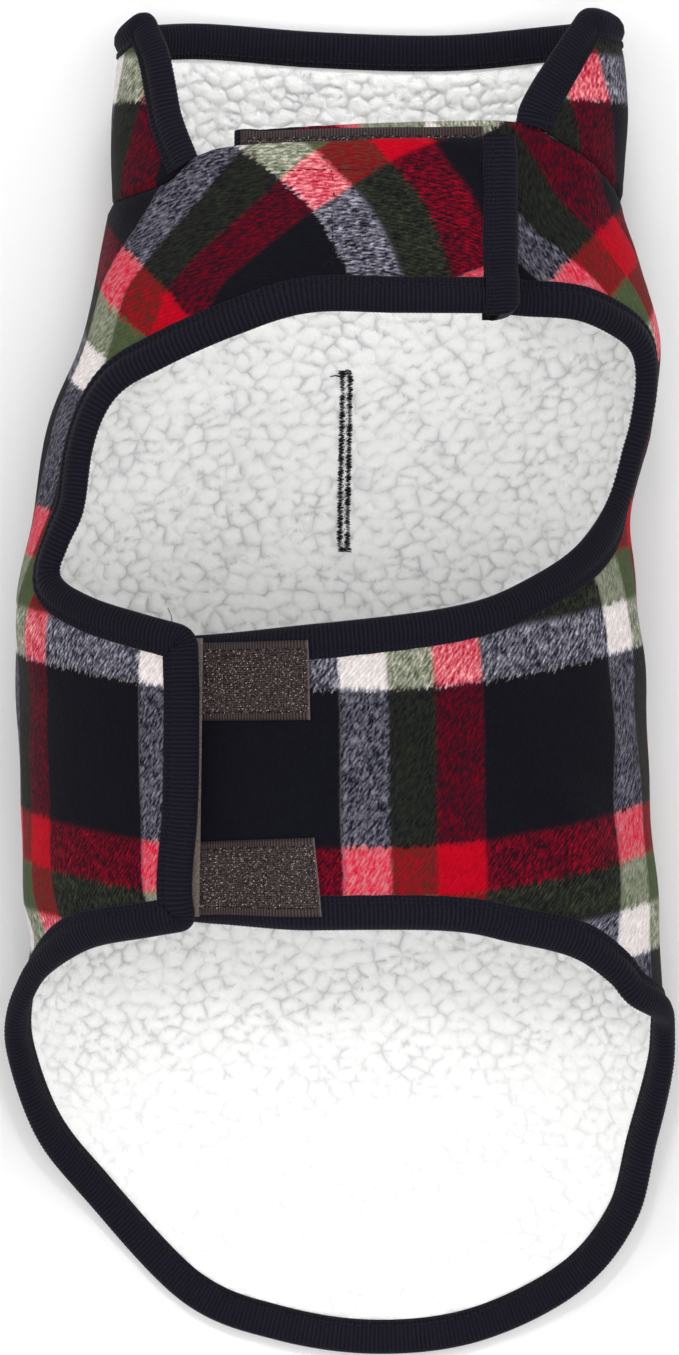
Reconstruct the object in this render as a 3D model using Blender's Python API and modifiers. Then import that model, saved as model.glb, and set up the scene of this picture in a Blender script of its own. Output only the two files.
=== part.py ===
"""Dog winter coat, closed and lying on its back.

Plaid flannel outside, sherpa inside, knit binding on its edges. Metres, +Z up. X runs across the coat, left
is -X, and Y runs along it towards the neck. The back of the coat rests on Z = 0 and the belly is on top. Sizes
in the tables are millimetres, and the origin is under the middle of the whole coat.

Each panel is cut from a flat pattern and wrapped on the hollow form that the closed coat takes. A place on the
pattern is (around, along). Around is the distance round the body from the middle of the back, negative to the
left. Along is the same as Y in the tables. A wing that goes over the belly runs past the middle of it.
"""

import math
from collections import namedtuple

import bpy
import numpy as np
from mathutils import Vector
from mathutils.geometry import delaunay_2d_cdt

MM = 0.001
ORIGIN = np.array((-0.2, -2.6, 0.0))  # where the tables below have the middle of the coat, mm

# Cloth, mm. The sherpa's pile is pressed flat where it is sewn and where one wing lies on another.
SHELL_WALL = 1.0
SEAM_GAP = 0.3
PILE = 3.0
PILE_PRESSED = 1.2
BINDING_WALL = 1.0
BINDING_WIDTH = 10.2
TAPE_WALL = 1.0

# Spacing of the points that a panel is wrapped with, mm
EDGE_STEP = 10.5
GRID_AROUND = 14.0
GRID_ALONG = 16.0

# The hollow form: the closed coat's cross-sections, from the collar's top to the end of the tail flap, mm.
# Left and right are the widest points, each at its height above the floor, and top is the highest point.
Section = namedtuple("Section", "along left right wide_left wide_right top")
SECTIONS = (
    Section(218, -67, 86, 31, 31, 69),
    Section(205, -70, 89.5, 32, 32, 73),
    Section(184, -71.5, 91, 33, 33, 77),
    Section(165, -72.2, 89.8, 33, 33, 80),
    Section(151, -72.6, 89.4, 33, 33, 82),
    Section(134, -75.5, 94, 35, 35, 85),
    Section(108, -82, 101.6, 38, 37, 89),
    Section(82, -91, 99.4, 40, 38, 92),
    Section(50, -97, 91.6, 42, 38, 96),
    Section(25, -102.4, 94, 41, 38, 99),
    Section(-7, -101.8, 96.3, 39, 38, 101),
    Section(-45, -100.8, 98.2, 38, 38, 101),
    Section(-71, -99.8, 100.4, 38, 38, 100),
    Section(-84, -97.8, 101, 38, 38, 98),
    Section(-97, -101, 102.3, 40, 40, 97),
    Section(-116, -108.4, 106.5, 45, 45, 94),
    Section(-148, -109, 109, 48, 48, 92),
    Section(-222, -109, 109, 48, 48, 90),
)
FLAT_SHARE = 0.42  # how much of each half of the back lies flat on the floor
TOP_FULLNESS = 2.15  # exponent of the rounded belly, 2 for an ellipse
TAIL_LIFT = (-165, -215, 5.0)  # the flap's end and the collar's end curl up off the floor
COLLAR_LIFT = (180, 210, 5.0)

# How far the right wings sink to pass under the left ones, between two places across the coat
Sink = namedtuple("Sink", "outer_x inner_x depth")
NECK_SINK = Sink(80, 60, 5.8)
BELLY_SINK = Sink(-8, -42, 8.4)
NECK_FROM = 60  # along, mm: wings beyond this are the neck's

# Edges of the body panel, mm, and whether each point lies over the belly, on the side or under the back
Point = namedtuple("Point", "x along lie")
NECK_LEFT = (
    Point(55, 171.5, "over"),
    Point(10, 170, "over"),
    Point(-31.5, 168.5, "over"),
    Point(-45.5, 165, "over"),
    Point(-56.5, 156.5, "over"),
    Point(-72.5, 151, "side"),
    Point(-30, 151.5, "under"),
)
NECK_RIGHT = (
    Point(40, 151.5, "under"),
    Point(89.5, 152.5, "side"),
    Point(74.5, 168, "over"),
    Point(64.5, 175, "over"),
    Point(49.5, 177.5, "over"),
    Point(0, 176, "over"),
    Point(-34.5, 174.5, "over"),
)
RIGHT_NECK_END = (
    Point(-34.5, 174.5, "over"),
    Point(-33.5, 146.5, "over"),
    Point(-33.5, 118.5, "over"),
)
RIGHT_LEG = (
    Point(-33.5, 118.5, "over"),
    Point(20, 119.5, "over"),
    Point(54.5, 117.5, "over"),
    Point(73.5, 115.5, "over"),
    Point(87.5, 110.5, "over"),
    Point(96, 103.5, "over"),
    Point(97.5, 91.5, "over"),
    Point(94, 74, "over"),
    Point(89.5, 58, "over"),
    Point(79.5, 43.5, "over"),
    Point(61, 30.5, "over"),
    Point(39.5, 22, "over"),
    Point(0, 16.5, "over"),
    Point(-65, 11, "over"),
)
RIGHT_BELLY_END = (Point(-65, 11, "over"), Point(-65, -31.5, "over"), Point(-65, -75, "over"))
TAIL = (
    Point(-65, -75, "over"),
    Point(-39.5, -78.5, "over"),
    Point(29.5, -78.5, "over"),
    Point(55, -82.5, "over"),
    Point(75, -87.5, "over"),
    Point(88, -96, "over"),
    Point(95.5, -103.5, "over"),
    Point(104, -111, "side"),
    Point(106, -125.5, "under"),
    Point(101.5, -149.5, "under"),
    Point(95.5, -174.5, "under"),
    Point(78, -197.5, "under"),
    Point(46.5, -213.5, "under"),
    Point(13, -218, "under"),
    Point(-20.5, -213.5, "under"),
    Point(-50.5, -201.5, "under"),
    Point(-82, -168.5, "under"),
    Point(-98, -147, "under"),
    Point(-106, -122.5, "under"),
    Point(-104, -106, "side"),
    Point(-97, -94.5, "over"),
    Point(-81, -85, "over"),
    Point(-61, -81, "over"),
    Point(-46, -78.5, "over"),
)
LEFT_BELLY_END = (Point(-46, -78.5, "over"), Point(-46, -31.5, "over"), Point(-46, 14.5, "over"))
LEFT_LEG = (
    Point(-46, 14.5, "over"),
    Point(-63, 19, "over"),
    Point(-80, 24.5, "over"),
    Point(-91.5, 32.5, "over"),
    Point(-89, 42.5, "over"),
    Point(-84, 53.5, "over"),
    Point(-81, 73.5, "over"),
    Point(-73, 90.5, "over"),
    Point(-57.5, 99.5, "over"),
    Point(-33.5, 109.5, "over"),
    Point(-10, 116.5, "over"),
    Point(19.5, 116.5, "over"),
    Point(55, 116.5, "over"),
)
LEFT_NECK_END = (Point(55, 116.5, "over"), Point(55, 147, "over"), Point(55, 171.5, "over"))
CORNER_RADIUS = 6.0

# The collar's edges. Its lower edge is sewn to the body's neck edge, all the way between its two fronts.
COLLAR_RIGHT_FRONT = (
    Point(59.5, 176.5, "over"),
    Point(62, 184, "over"),
    Point(72, 202, "over"),
    Point(78.5, 213.5, "over"),
)
COLLAR_TOP = (
    Point(78.5, 213.5, "over"),
    Point(88.5, 211.5, "side"),
    Point(67, 209.5, "under"),
    Point(32.5, 207, "under"),
    Point(-6, 208, "under"),
    Point(-46.5, 210.5, "under"),
    Point(-70, 208, "side"),
    Point(-62, 213, "over"),
)
COLLAR_LEFT_FRONT = (
    Point(-62, 213, "over"),
    Point(-57, 199.5, "over"),
    Point(-52.5, 179, "over"),
    Point(-47, 164.5, "over"),
)

# Closure tapes, mm: x of each end and along of each side, on the right wings or under the end of the left one
Tape = namedtuple("Tape", "name left right low high")
NECK_HOOKS = Tape("neck_hook_tape", -32.5, 45, 148, 173.5)
BELLY_HOOKS = (
    Tape("belly_hook_tape_upper", -52, -9.2, -13.2, 11.8),
    Tape("belly_hook_tape_lower", -52, -7, -75, -50.2),
)
BELLY_LOOPS = Tape("belly_loop_tape", -61, -43, -76.8, 12.3)

# Stitched slit for a leash, in the lining of the upper back, mm
SLIT_PLACE = (1.6, 70.3)
SLIT_LENGTH = 57.5
SLIT_STITCH = 2.0
SLIT_OPEN = 0.7
STITCH_WALL = 0.6

# Colours as linear values: base colour, roughness
FLANNEL = ("brushed plaid flannel", (0.016, 0.020, 0.030), 0.95)
SHERPA = ("sherpa pile", (0.82, 0.82, 0.80), 1.0)
RIB_KNIT = ("navy rib knit tape", (0.008, 0.009, 0.018), 0.8)
HOOK_TAPE = ("brown hook tape", (0.040, 0.030, 0.026), 0.6)
STITCHING = ("navy satin stitch", (0.010, 0.012, 0.024), 0.5)


def start_collections():
    """Empties the scene and returns the coat's collection."""
    for obj in list(bpy.data.objects):
        bpy.data.objects.remove(obj, do_unlink=True)
    coat = bpy.data.collections.new("dog_winter_coat")
    bpy.context.scene.collection.children.link(coat)
    return coat


def eased(value, start, end):
    """0 at start, 1 at end, and smooth between them."""
    t = min(max((value - start) / (end - start), 0.0), 1.0)
    return t * t * (3 - 2 * t)


class HollowForm:
    """The smooth tube through SECTIONS, with lengths measured round it from the middle of the back."""

    def __init__(self, sections):
        ordered = sorted(sections)
        self.stations = np.array([s.along for s in ordered], float)
        self.values = np.array([s[1:] for s in ordered], float)
        self.slopes = np.gradient(self.values, self.stations, axis=0)
        self.kept = {}

    def sizes(self, along):
        """The section's sizes at one place along the coat, on a cubic through the table."""
        i = int(np.clip(np.searchsorted(self.stations, along) - 1, 0, len(self.stations) - 2))
        span = self.stations[i + 1] - self.stations[i]
        t = (along - self.stations[i]) / span
        start = (1 + 2 * t) * (1 - t) ** 2
        return (
            start * self.values[i]
            + (1 - start) * self.values[i + 1]
            + t * (1 - t) ** 2 * span * self.slopes[i]
            - t * t * (1 - t) * span * self.slopes[i + 1]
        )

    def halves(self, along):
        """{-1: left, 1: right}: each half as (lengths, xs, zs, length to the widest point), back to belly."""
        key = round(along, 4)
        if key in self.kept:
            return self.kept[key]
        left, right, wide_left, wide_right, top = self.sizes(along)
        middle = (left + right) / 2
        turn = np.linspace(0, math.pi / 2, 90)
        halves = {}
        for side, widest, height in ((-1, left, wide_left), (1, right, wide_right)):
            reach = abs(widest - middle)
            flat = FLAT_SHARE * reach
            bulge = reach - flat
            rising = top - height
            out = np.concatenate(
                [[0], flat + bulge * np.sin(turn), reach * np.cos(turn[1:]) ** (2 / TOP_FULLNESS)]
            )
            up = np.concatenate(
                [
                    [0],
                    height * (1 - np.cos(turn)),
                    height + rising * np.sin(turn[1:]) ** (2 / TOP_FULLNESS),
                ]
            )
            lengths = np.concatenate([[0], np.cumsum(np.hypot(np.diff(out), np.diff(up)))])
            halves[side] = (lengths, middle + side * out, up, lengths[len(turn)])
        self.kept[key] = halves
        return halves

    def bare_point(self, around, along):
        """The place of a pattern point on the form, in mm."""
        halves = self.halves(along)
        side = 1 if around >= 0 else -1
        length = abs(around)
        past_belly = length - halves[side][0][-1]
        if past_belly > 0:
            side = -side
            length = halves[side][0][-1] - past_belly
        lengths, xs, zs, _ = halves[side]
        lift = sum(height * eased(along, start, end) for start, end, height in (TAIL_LIFT, COLLAR_LIFT))
        return np.array([np.interp(length, lengths, xs), along, np.interp(length, lengths, zs) + lift])

    def outward(self, around, along, step=0.8):
        """The direction out of the coat at a pattern point."""
        across = self.bare_point(around + step, along) - self.bare_point(around - step, along)
        lengthways = self.bare_point(around, along + step) - self.bare_point(around, along - step)
        normal = np.cross(lengthways, across)
        return normal / np.linalg.norm(normal)

    def sink(self, around, along, x):
        """How far the cloth lies inside the form, where it is a right wing on its way under the left one."""
        lengths, _, _, widest = self.halves(along)[1]
        if around <= widest:
            return 0.0
        sink = NECK_SINK if along > NECK_FROM else BELLY_SINK
        return sink.depth * eased(-x, -sink.outer_x, -sink.inner_x)

    def point(self, around, along):
        bare = self.bare_point(around, along)
        depth = self.sink(around, along, bare[0])
        return bare - depth * self.outward(around, along) if depth else bare

    def pattern_point(self, point, side):
        """(around, along) of an edge point of the wing or panel that comes from that side."""
        halves = self.halves(point.along)
        lengths, xs, _, widest = halves[side]
        if point.lie == "side":
            return np.array([side * widest, point.along])
        if point.lie == "under":
            below = lengths <= widest + 1e-6
            length = np.interp(side * point.x, side * xs[below], lengths[below])
        elif side * (point.x - xs[-1]) >= 0:
            over = lengths >= widest - 1e-6
            length = np.interp(-side * point.x, -side * xs[over], lengths[over])
        else:
            far_lengths, far_xs, _, far_widest = halves[-side]
            over = far_lengths >= far_widest - 1e-6
            from_far_side = np.interp(side * point.x, side * far_xs[over], far_lengths[over])
            length = lengths[-1] + far_lengths[-1] - from_far_side
        return np.array([side * length, point.along])


FORM = HollowForm(SECTIONS)


def side_of(point):
    return 1 if point.x >= 0 else -1


def on_pattern(points, side=None):
    """The edge's points on the pattern. Without a side, each belongs to the side that it lies on."""
    return np.array([FORM.pattern_point(p, side or side_of(p)) for p in points])


def smooth_path(points, step=EDGE_STEP):
    """The curve through the points, with a point about every step."""
    padded = np.vstack([2 * points[0] - points[1], points, 2 * points[-1] - points[-2]])
    fine = []
    for a, b, c, d in zip(padded, padded[1:], padded[2:], padded[3:]):
        for t in np.linspace(0, 1, 16, endpoint=False):
            fine.append(
                0.5
                * (2 * b + (c - a) * t + (2 * a - 5 * b + 4 * c - d) * t**2 + (3 * b - a - 3 * c + d) * t**3)
            )
    fine = np.array(fine + [points[-1]])
    return resampled(fine, step)


def resampled(path, step):
    lengths = np.concatenate([[0], np.cumsum(np.linalg.norm(np.diff(path, axis=0), axis=1))])
    count = max(1, round(lengths[-1] / step))
    at = np.linspace(0, lengths[-1], count + 1)
    return np.stack([np.interp(at, lengths, path[:, k]) for k in (0, 1)], axis=1)


def rounded_join(first, second, radius=CORNER_RADIUS):
    """Two edges that meet at a corner, as one path with the corner cut round."""
    corner = first[-1]
    before = first[np.linalg.norm(first - corner, axis=1) > radius * 1.3]
    after = second[np.linalg.norm(second - corner, axis=1) > radius * 1.3]
    start = corner + radius * (before[-1] - corner) / np.linalg.norm(before[-1] - corner)
    end = corner + radius * (after[0] - corner) / np.linalg.norm(after[0] - corner)
    middle = 0.25 * start + 0.5 * corner + 0.25 * end
    return np.vstack([before, start, middle, end, after])


def inset_path(path, width, inner_side):
    """The path moved by width to its inner side, without the points that a corner brings nearer than that."""
    tangents = np.gradient(path, axis=0)
    normals = np.stack([-tangents[:, 1], tangents[:, 0]], axis=1) * inner_side
    normals /= np.linalg.norm(normals, axis=1)[:, None]
    fine = resampled(path, 1.0)
    kept = []
    for place in (path + width * normals)[1:-1]:
        clear = np.linalg.norm(fine - place, axis=1).min() > width * 0.985
        if clear and (not kept or np.linalg.norm(place - kept[-1]) > EDGE_STEP * 0.4):
            kept.append(place)
    return np.array(kept)


def inside(polygon, place):
    """Whether the place is inside the polygon, by the crossings to its right."""
    x, y = place
    a, b = polygon, np.roll(polygon, -1, axis=0)
    crosses = (a[:, 1] > y) != (b[:, 1] > y)
    rise = np.where(crosses, b[:, 1] - a[:, 1], 1.0)
    at = a[:, 0] + (y - a[:, 1]) * (b[:, 0] - a[:, 0]) / rise
    return bool((crosses & (at > x)).sum() % 2)


def is_left_of(path, place):
    a, b = path[0], path[1]
    return (b[0] - a[0]) * (place[1] - a[1]) - (b[1] - a[1]) * (place[0] - a[0]) > 0


class Panel:
    """A flat piece cut to its outline: its points on the pattern and on the form, and its triangles."""

    def __init__(self, outline, lines=(), shapes=()):
        points = [tuple(p) for p in outline]
        edges = []
        for line, closed in [(line, False) for line in lines] + [(shape, True) for shape in shapes]:
            numbers = []
            for place in line:
                near = [i for i, p in enumerate(points) if math.dist(p, place) < 1e-3]
                numbers.append(near[0] if near else len(points))
                if not near:
                    points.append(tuple(place))
            edges += list(zip(numbers, numbers[1:] + numbers[:1] if closed else numbers[1:]))
        points += self.grid(outline, np.array(points))
        outline_face = [list(range(len(outline)))]
        placed, _, faces, *_ = delaunay_2d_cdt([Vector(p) for p in points], edges, outline_face, 1, 1e-4)
        self.pattern = np.array([p[:] for p in placed])
        self.triangles = [self.facing_out(face) for face in faces]
        self.outer = np.array([FORM.point(*p) for p in self.pattern])
        self.normals = self.point_normals()

    @staticmethod
    def grid(outline, taken):
        """Points in rows and columns inside the outline, clear of those already there."""
        found = []
        low, high = outline.min(axis=0), outline.max(axis=0)
        for row in np.arange(math.ceil(low[1] / GRID_ALONG), high[1] / GRID_ALONG):
            for column in np.arange(math.ceil(low[0] / GRID_AROUND), high[0] / GRID_AROUND):
                place = np.array([column * GRID_AROUND, row * GRID_ALONG])
                clear = np.linalg.norm(taken - place, axis=1).min() > 0.52 * GRID_AROUND
                if clear and inside(outline, place):
                    found.append(tuple(place))
        return found

    def facing_out(self, face):
        a, b, c = (self.pattern[i] for i in face)
        turns_left = (b[0] - a[0]) * (c[1] - a[1]) - (b[1] - a[1]) * (c[0] - a[0]) > 0
        return (face[0], face[2], face[1]) if turns_left else tuple(face)

    def point_normals(self):
        normals = np.zeros_like(self.outer)
        for triangle in self.triangles:
            a, b, c = self.outer[list(triangle)]
            facing = np.cross(b - a, c - a)
            facing /= np.linalg.norm(facing)
            for i, (p, q, r) in zip(triangle, ((a, b, c), (b, c, a), (c, a, b))):
                u, v = (q - p) / np.linalg.norm(q - p), (r - p) / np.linalg.norm(r - p)
                normals[i] += facing * math.acos(max(-1.0, min(1.0, float(u @ v))))
        return normals / np.maximum(np.linalg.norm(normals, axis=1), 1e-9)[:, None]

    def region(self, polygon):
        """The triangles whose middles are inside a polygon of the pattern."""
        return [t for t in self.triangles if inside(polygon, self.pattern[list(t)].mean(axis=0))]

    def points_on(self, path):
        """The panel's points that are points of a path on the pattern."""
        apart = [np.linalg.norm(path - place, axis=1).min() for place in self.pattern]
        return {i for i, distance in enumerate(apart) if distance < 0.01}

    def boundary(self, triangles):
        """The edges that only one of these triangles has, in its direction."""
        ends = {(t[i], t[(i + 1) % 3]) for t in triangles for i in range(3)}
        return [(a, b) for a, b in ends if (b, a) not in ends]


def bound_panel(plain, bound, shapes=()):
    """A panel with a plain and a bound edge, both from left to right, and the strip under its binding."""
    outline = np.vstack([plain, bound[-2:0:-1]])
    inner_side = 1 if is_left_of(bound, plain.mean(axis=0)) else -1
    inset = np.vstack([plain[1], inset_path(bound, BINDING_WIDTH, inner_side), plain[-2]])
    panel = Panel(outline, [inset], shapes)
    strip = panel.region(np.vstack([bound, inset[::-1]]))
    on_rim = panel.points_on(bound)
    folded = {(a, b) for a, b in panel.boundary(strip) if a in on_rim and b in on_rim}
    return panel, strip, folded


def material(name, colour, roughness):
    made = bpy.data.materials.get(name) or bpy.data.materials.new(name)
    made.use_nodes = True
    shader = made.node_tree.nodes["Principled BSDF"]
    shader.inputs["Base Color"].default_value = (*colour, 1)
    shader.inputs["Roughness"].default_value = roughness
    shader.inputs["Metallic"].default_value = 0.0
    return made


def new_object(name, points, faces, finish, collection):
    """A mesh object from points in mm, leaving out points that no face uses."""
    used = sorted({i for face in faces for i in face})
    renumbered = {old: new for new, old in enumerate(used)}
    mesh = bpy.data.meshes.new(name)
    vertices = [tuple((points[i] - ORIGIN) * MM) for i in used]
    mesh.from_pydata(vertices, [], [[renumbered[i] for i in face] for face in faces])
    mesh.shade_smooth()
    mesh.materials.append(material(*finish))
    obj = bpy.data.objects.new(name, mesh)
    collection.objects.link(obj)
    return obj, renumbered


def add_wall(obj, thickness, weights=None, least=1.0):
    """Gives an open surface its thickness, inwards, thinner where the weights are under 1."""
    wall = obj.modifiers.new("wall", "SOLIDIFY")
    wall.thickness = thickness * MM
    wall.offset = -1
    if weights is not None:
        group = obj.vertex_groups.new(name="pile")
        for number, weight in weights.items():
            group.add([number], weight, "REPLACE")
        wall.vertex_group = "pile"
        wall.thickness_vertex_group = least


def make_shell(name, panel, collection):
    obj, _ = new_object(name, panel.outer, panel.triangles, FLANNEL, collection)
    add_wall(obj, SHELL_WALL)


def make_lining(name, panel, pressed, collection):
    """The sherpa inside a shell panel, thin at the points that are pressed."""
    points = panel.outer - panel.normals * (SHELL_WALL + SEAM_GAP)
    obj, renumbered = new_object(name, points, panel.triangles, SHERPA, collection)
    weights = {new: 0.0 if old in pressed else 1.0 for old, new in renumbered.items()}
    add_wall(obj, PILE, weights, PILE_PRESSED / PILE)


def corners_of(triangles):
    return {i for triangle in triangles for i in triangle}


def edge_directions(panel, edge):
    """For each point of a free edge, the direction out of the cloth along its surface."""
    away = {}
    for a, b in edge:
        run = panel.outer[b] - panel.outer[a]
        for i in (a, b):
            out = np.cross(run, panel.normals[i])
            away[i] = away.get(i, 0) + out / np.linalg.norm(out)
    return {i: v / np.linalg.norm(v) for i, v in away.items()}


def make_binding(name, panel, strip, folded_edge, collection):
    """A tape folded over the panel's edge: a U in section, made from the points of the strip under it."""
    sewn = SHELL_WALL + SEAM_GAP + PILE_PRESSED
    away = edge_directions(panel, folded_edge)
    # Round the section: how far each corner is outside the shell, and how far past the edge of the cloth
    corners = {
        "outside": (SEAM_GAP + BINDING_WALL, 0),
        "fold outside": (-0.15 * sewn, SEAM_GAP + BINDING_WALL),
        "fold inside": (-0.85 * sewn, SEAM_GAP + BINDING_WALL),
        "inside": (-sewn - SEAM_GAP - BINDING_WALL, 0),
        "under inside": (-sewn - SEAM_GAP, SEAM_GAP),
        "under outside": (SEAM_GAP, SEAM_GAP),
    }
    covered = sorted(corners_of(strip))
    points, layers = [], {}
    for corner, (depth, past) in corners.items():
        placed = sorted(away) if corner.startswith("fold") else covered
        layers[corner] = {i: len(points) + n for n, i in enumerate(placed)}
        points += [panel.outer[i] + panel.normals[i] * depth + away.get(i, 0) * past for i in placed]
    faces = []
    for a, b, c in strip:
        faces += [[layers[corner][i] for i in (a, b, c)] for corner in ("outside", "under inside")]
        faces += [[layers[corner][i] for i in (c, b, a)] for corner in ("under outside", "inside")]
    over_fold = (
        ("outside", "fold outside"),
        ("fold outside", "fold inside"),
        ("fold inside", "inside"),
    )
    for a, b in panel.boundary(strip):
        if (a, b) in folded_edge:
            pairs = (*over_fold, ("under inside", "under outside"))
        else:
            pairs = (("outside", "under outside"), ("under inside", "inside"))
        faces += [[layers[one][b], layers[one][a], layers[two][a], layers[two][b]] for one, two in pairs]
    starts, ends = ({edge[k] for edge in folded_edge} for k in (0, 1))
    for i in starts ^ ends:
        cap = [layers[corner][i] for corner in corners]
        faces.append(cap[::-1] if i in starts else cap)
    new_object(name, points, faces, RIB_KNIT, collection)


def pattern_box(tape, side):
    """A tape's outline on the pattern, wound one way, with a point about every step."""
    corners = (
        Point(tape.left, tape.low, "over"),
        Point(tape.right, tape.low, "over"),
        Point(tape.right, tape.high, "over"),
        Point(tape.left, tape.high, "over"),
    )
    placed = on_pattern(corners, side)
    ends = zip(placed, np.roll(placed, -1, axis=0))
    return np.vstack([resampled(np.array([a, b]), GRID_ALONG)[:-1] for a, b in ends])


def make_tape(tape, panel, triangles, depths, collection):
    """A closure tape made from a panel's points, its outer face at these distances from the shell's."""
    points = panel.outer + panel.normals * depths[:, None]
    obj, _ = new_object(tape.name, points, triangles, HOOK_TAPE, collection)
    add_wall(obj, TAPE_WALL)


def tail_on_pattern():
    """The tail's edge. Each end is on the wing of its own side, though the right one passes the middle."""
    sides = [i for i, point in enumerate(TAIL) if point.lie == "side"]
    right, back, left = TAIL[: sides[0]], TAIL[sides[0] : sides[1] + 1], TAIL[sides[1] + 1 :]
    return np.vstack([on_pattern(right, 1), on_pattern(back), on_pattern(left, -1)])


def edge_with_binding_ends(points, step=EDGE_STEP):
    """The curve through the points, with a point where the binding of the next edge ends, at either end."""
    fine = smooth_path(points, 1.0)
    lengths = np.concatenate([[0], np.cumsum(np.linalg.norm(np.diff(fine, axis=0), axis=1))])
    between = lengths[-1] - 2 * BINDING_WIDTH
    inner = BINDING_WIDTH + np.linspace(0, between, round(between / step) + 1)
    at = np.concatenate([[0], inner, lengths[-1:]])
    return np.stack([np.interp(at, lengths, fine[:, k]) for k in (0, 1)], axis=1)


def body_edges():
    """The body's cut: its neck edge and its bound edge, both from the left neck wing's end to the right's."""
    bound = smooth_path(on_pattern(LEFT_NECK_END, -1)[::-1])
    for placed in (
        on_pattern(LEFT_LEG, -1)[::-1],
        on_pattern(LEFT_BELLY_END, -1)[::-1],
        tail_on_pattern()[::-1],
        on_pattern(RIGHT_BELLY_END, 1)[::-1],
        on_pattern(RIGHT_LEG, 1)[::-1],
        on_pattern(RIGHT_NECK_END, 1)[::-1],
    ):
        bound = rounded_join(bound, smooth_path(placed))
    neck = edge_with_binding_ends(np.vstack([on_pattern(NECK_LEFT, -1), on_pattern(NECK_RIGHT, 1)]))
    return neck, bound


def collar_edges(neck):
    """The collar's cut: the edge sewn to the body's neck edge and the bound edge, both from left to right."""
    ends = [FORM.pattern_point(COLLAR_LEFT_FRONT[-1], -1), FORM.pattern_point(COLLAR_RIGHT_FRONT[0], 1)]
    first, last = (int(np.linalg.norm(neck - end, axis=1).argmin()) for end in ends)
    sewn = neck[first : last + 1]
    across = np.gradient(sewn, axis=0)
    along = np.stack([-across[:, 1], across[:, 0]], axis=1)
    sewn = sewn + (SEAM_GAP + 0.05) * along / np.linalg.norm(along, axis=1)[:, None]
    lower = edge_with_binding_ends(sewn)
    left = np.vstack([lower[:1], on_pattern(COLLAR_LEFT_FRONT[:-1], -1)[::-1]])
    right = np.vstack([on_pattern(COLLAR_RIGHT_FRONT[1:], 1)[::-1], lower[-1:]])
    top = on_pattern(COLLAR_TOP)[::-1]
    bound = rounded_join(rounded_join(smooth_path(left), smooth_path(top)), smooth_path(right))
    return lower, bound


def pressed_points(panel, strip, seam):
    """The points where the pile is flat: under a binding, and along the seam between body and collar."""
    return corners_of(strip) | panel.points_on(seam)


def overlapping_points(panel):
    """The points of the left wings that lie on the right ones."""
    found = set()
    for i, (around, along) in enumerate(panel.pattern):
        right_end = RIGHT_NECK_END[0].x if along > NECK_FROM else RIGHT_BELLY_END[0].x
        on_top = around < -0.75 * FORM.halves(along)[-1][0][-1]
        if on_top and along > TAIL[0].along and panel.outer[i][0] > right_end - GRID_AROUND:
            found.add(i)
    return found


def make_body(neck, bound, collection):
    boxes = {tape: pattern_box(tape, 1) for tape in (NECK_HOOKS, *BELLY_HOOKS)}
    panel, strip, folded = bound_panel(neck, bound, boxes.values())
    make_shell("body_shell", panel, collection)
    pressed = pressed_points(panel, strip, neck) | overlapping_points(panel)
    make_lining("body_lining", panel, pressed, collection)
    make_binding("body_binding", panel, strip, folded, collection)
    on_binding = panel.pattern[sorted(corners_of(strip))]
    apart = np.array([np.linalg.norm(on_binding - place, axis=1).min() for place in panel.pattern])
    over_binding = np.where(apart < 0.6 * EDGE_STEP, SEAM_GAP + BINDING_WALL, 0.0)
    depths = SEAM_GAP + TAPE_WALL + over_binding
    for tape, box in boxes.items():
        make_tape(tape, panel, panel.region(box), depths, collection)
    loops = Panel(pattern_box(BELLY_LOOPS, -1))
    under = -(SHELL_WALL + SEAM_GAP + PILE_PRESSED + SEAM_GAP + BINDING_WALL + SEAM_GAP)
    make_tape(BELLY_LOOPS, loops, loops.triangles, np.full(len(loops.outer), under), collection)


def make_collar(neck, collection):
    lower, bound = collar_edges(neck)
    panel, strip, folded = bound_panel(lower, bound)
    make_shell("collar_shell", panel, collection)
    make_lining("collar_lining", panel, pressed_points(panel, strip, lower), collection)
    make_binding("collar_binding", panel, strip, folded, collection)


def rounded_slot(length, width, steps=5):
    """The outline of a slot with round ends, along Y round its middle, in mm."""
    turns = np.linspace(0, math.pi, steps + 1)
    straight = (length - width) / 2
    half = [(width / 2 * math.cos(t), straight + width / 2 * math.sin(t)) for t in turns]
    return half + [(-x, -y) for x, y in half]


def make_slit_stitching(collection):
    """The satin stitch round the leash slit: a flat ring that lies on the lining of the back."""
    outline = bpy.data.curves.new("leash_slit_stitching", "CURVE")
    outline.dimensions = "2D"
    outline.fill_mode = "BOTH"
    outline.extrude = STITCH_WALL / 2 * MM
    for length, width in (
        (SLIT_LENGTH, 2 * SLIT_STITCH + SLIT_OPEN),
        (SLIT_LENGTH - 2 * SLIT_STITCH, SLIT_OPEN),
    ):
        spline = outline.splines.new("POLY")
        slot = rounded_slot(length, width)
        spline.points.add(len(slot) - 1)
        for point, (x, y) in zip(spline.points, slot):
            point.co = (x * MM, y * MM, 0, 1)
        spline.use_cyclic_u = True
    outline.materials.append(material(*STITCHING))
    stitching = bpy.data.objects.new("leash_slit_stitching", outline)
    lining_top = SHELL_WALL + SEAM_GAP + PILE
    place = np.array((*SLIT_PLACE, lining_top + SEAM_GAP + STITCH_WALL / 2))
    stitching.location = (place - ORIGIN) * MM
    collection.objects.link(stitching)


coat = start_collections()
neck_edge, bound_edge = body_edges()
make_body(neck_edge, bound_edge, coat)
make_collar(neck_edge, coat)
make_slit_stitching(coat)
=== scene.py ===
"""The looks of the dog winter coat: plaid flannel, sherpa, knit binding, hook tapes and stitching.

The coat is closed and lies on its back. X runs across it, Y along it towards the neck, and Z up. The tables
are in millimetres and hold the same places as the part's source.
"""

import math
from collections import namedtuple

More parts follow.
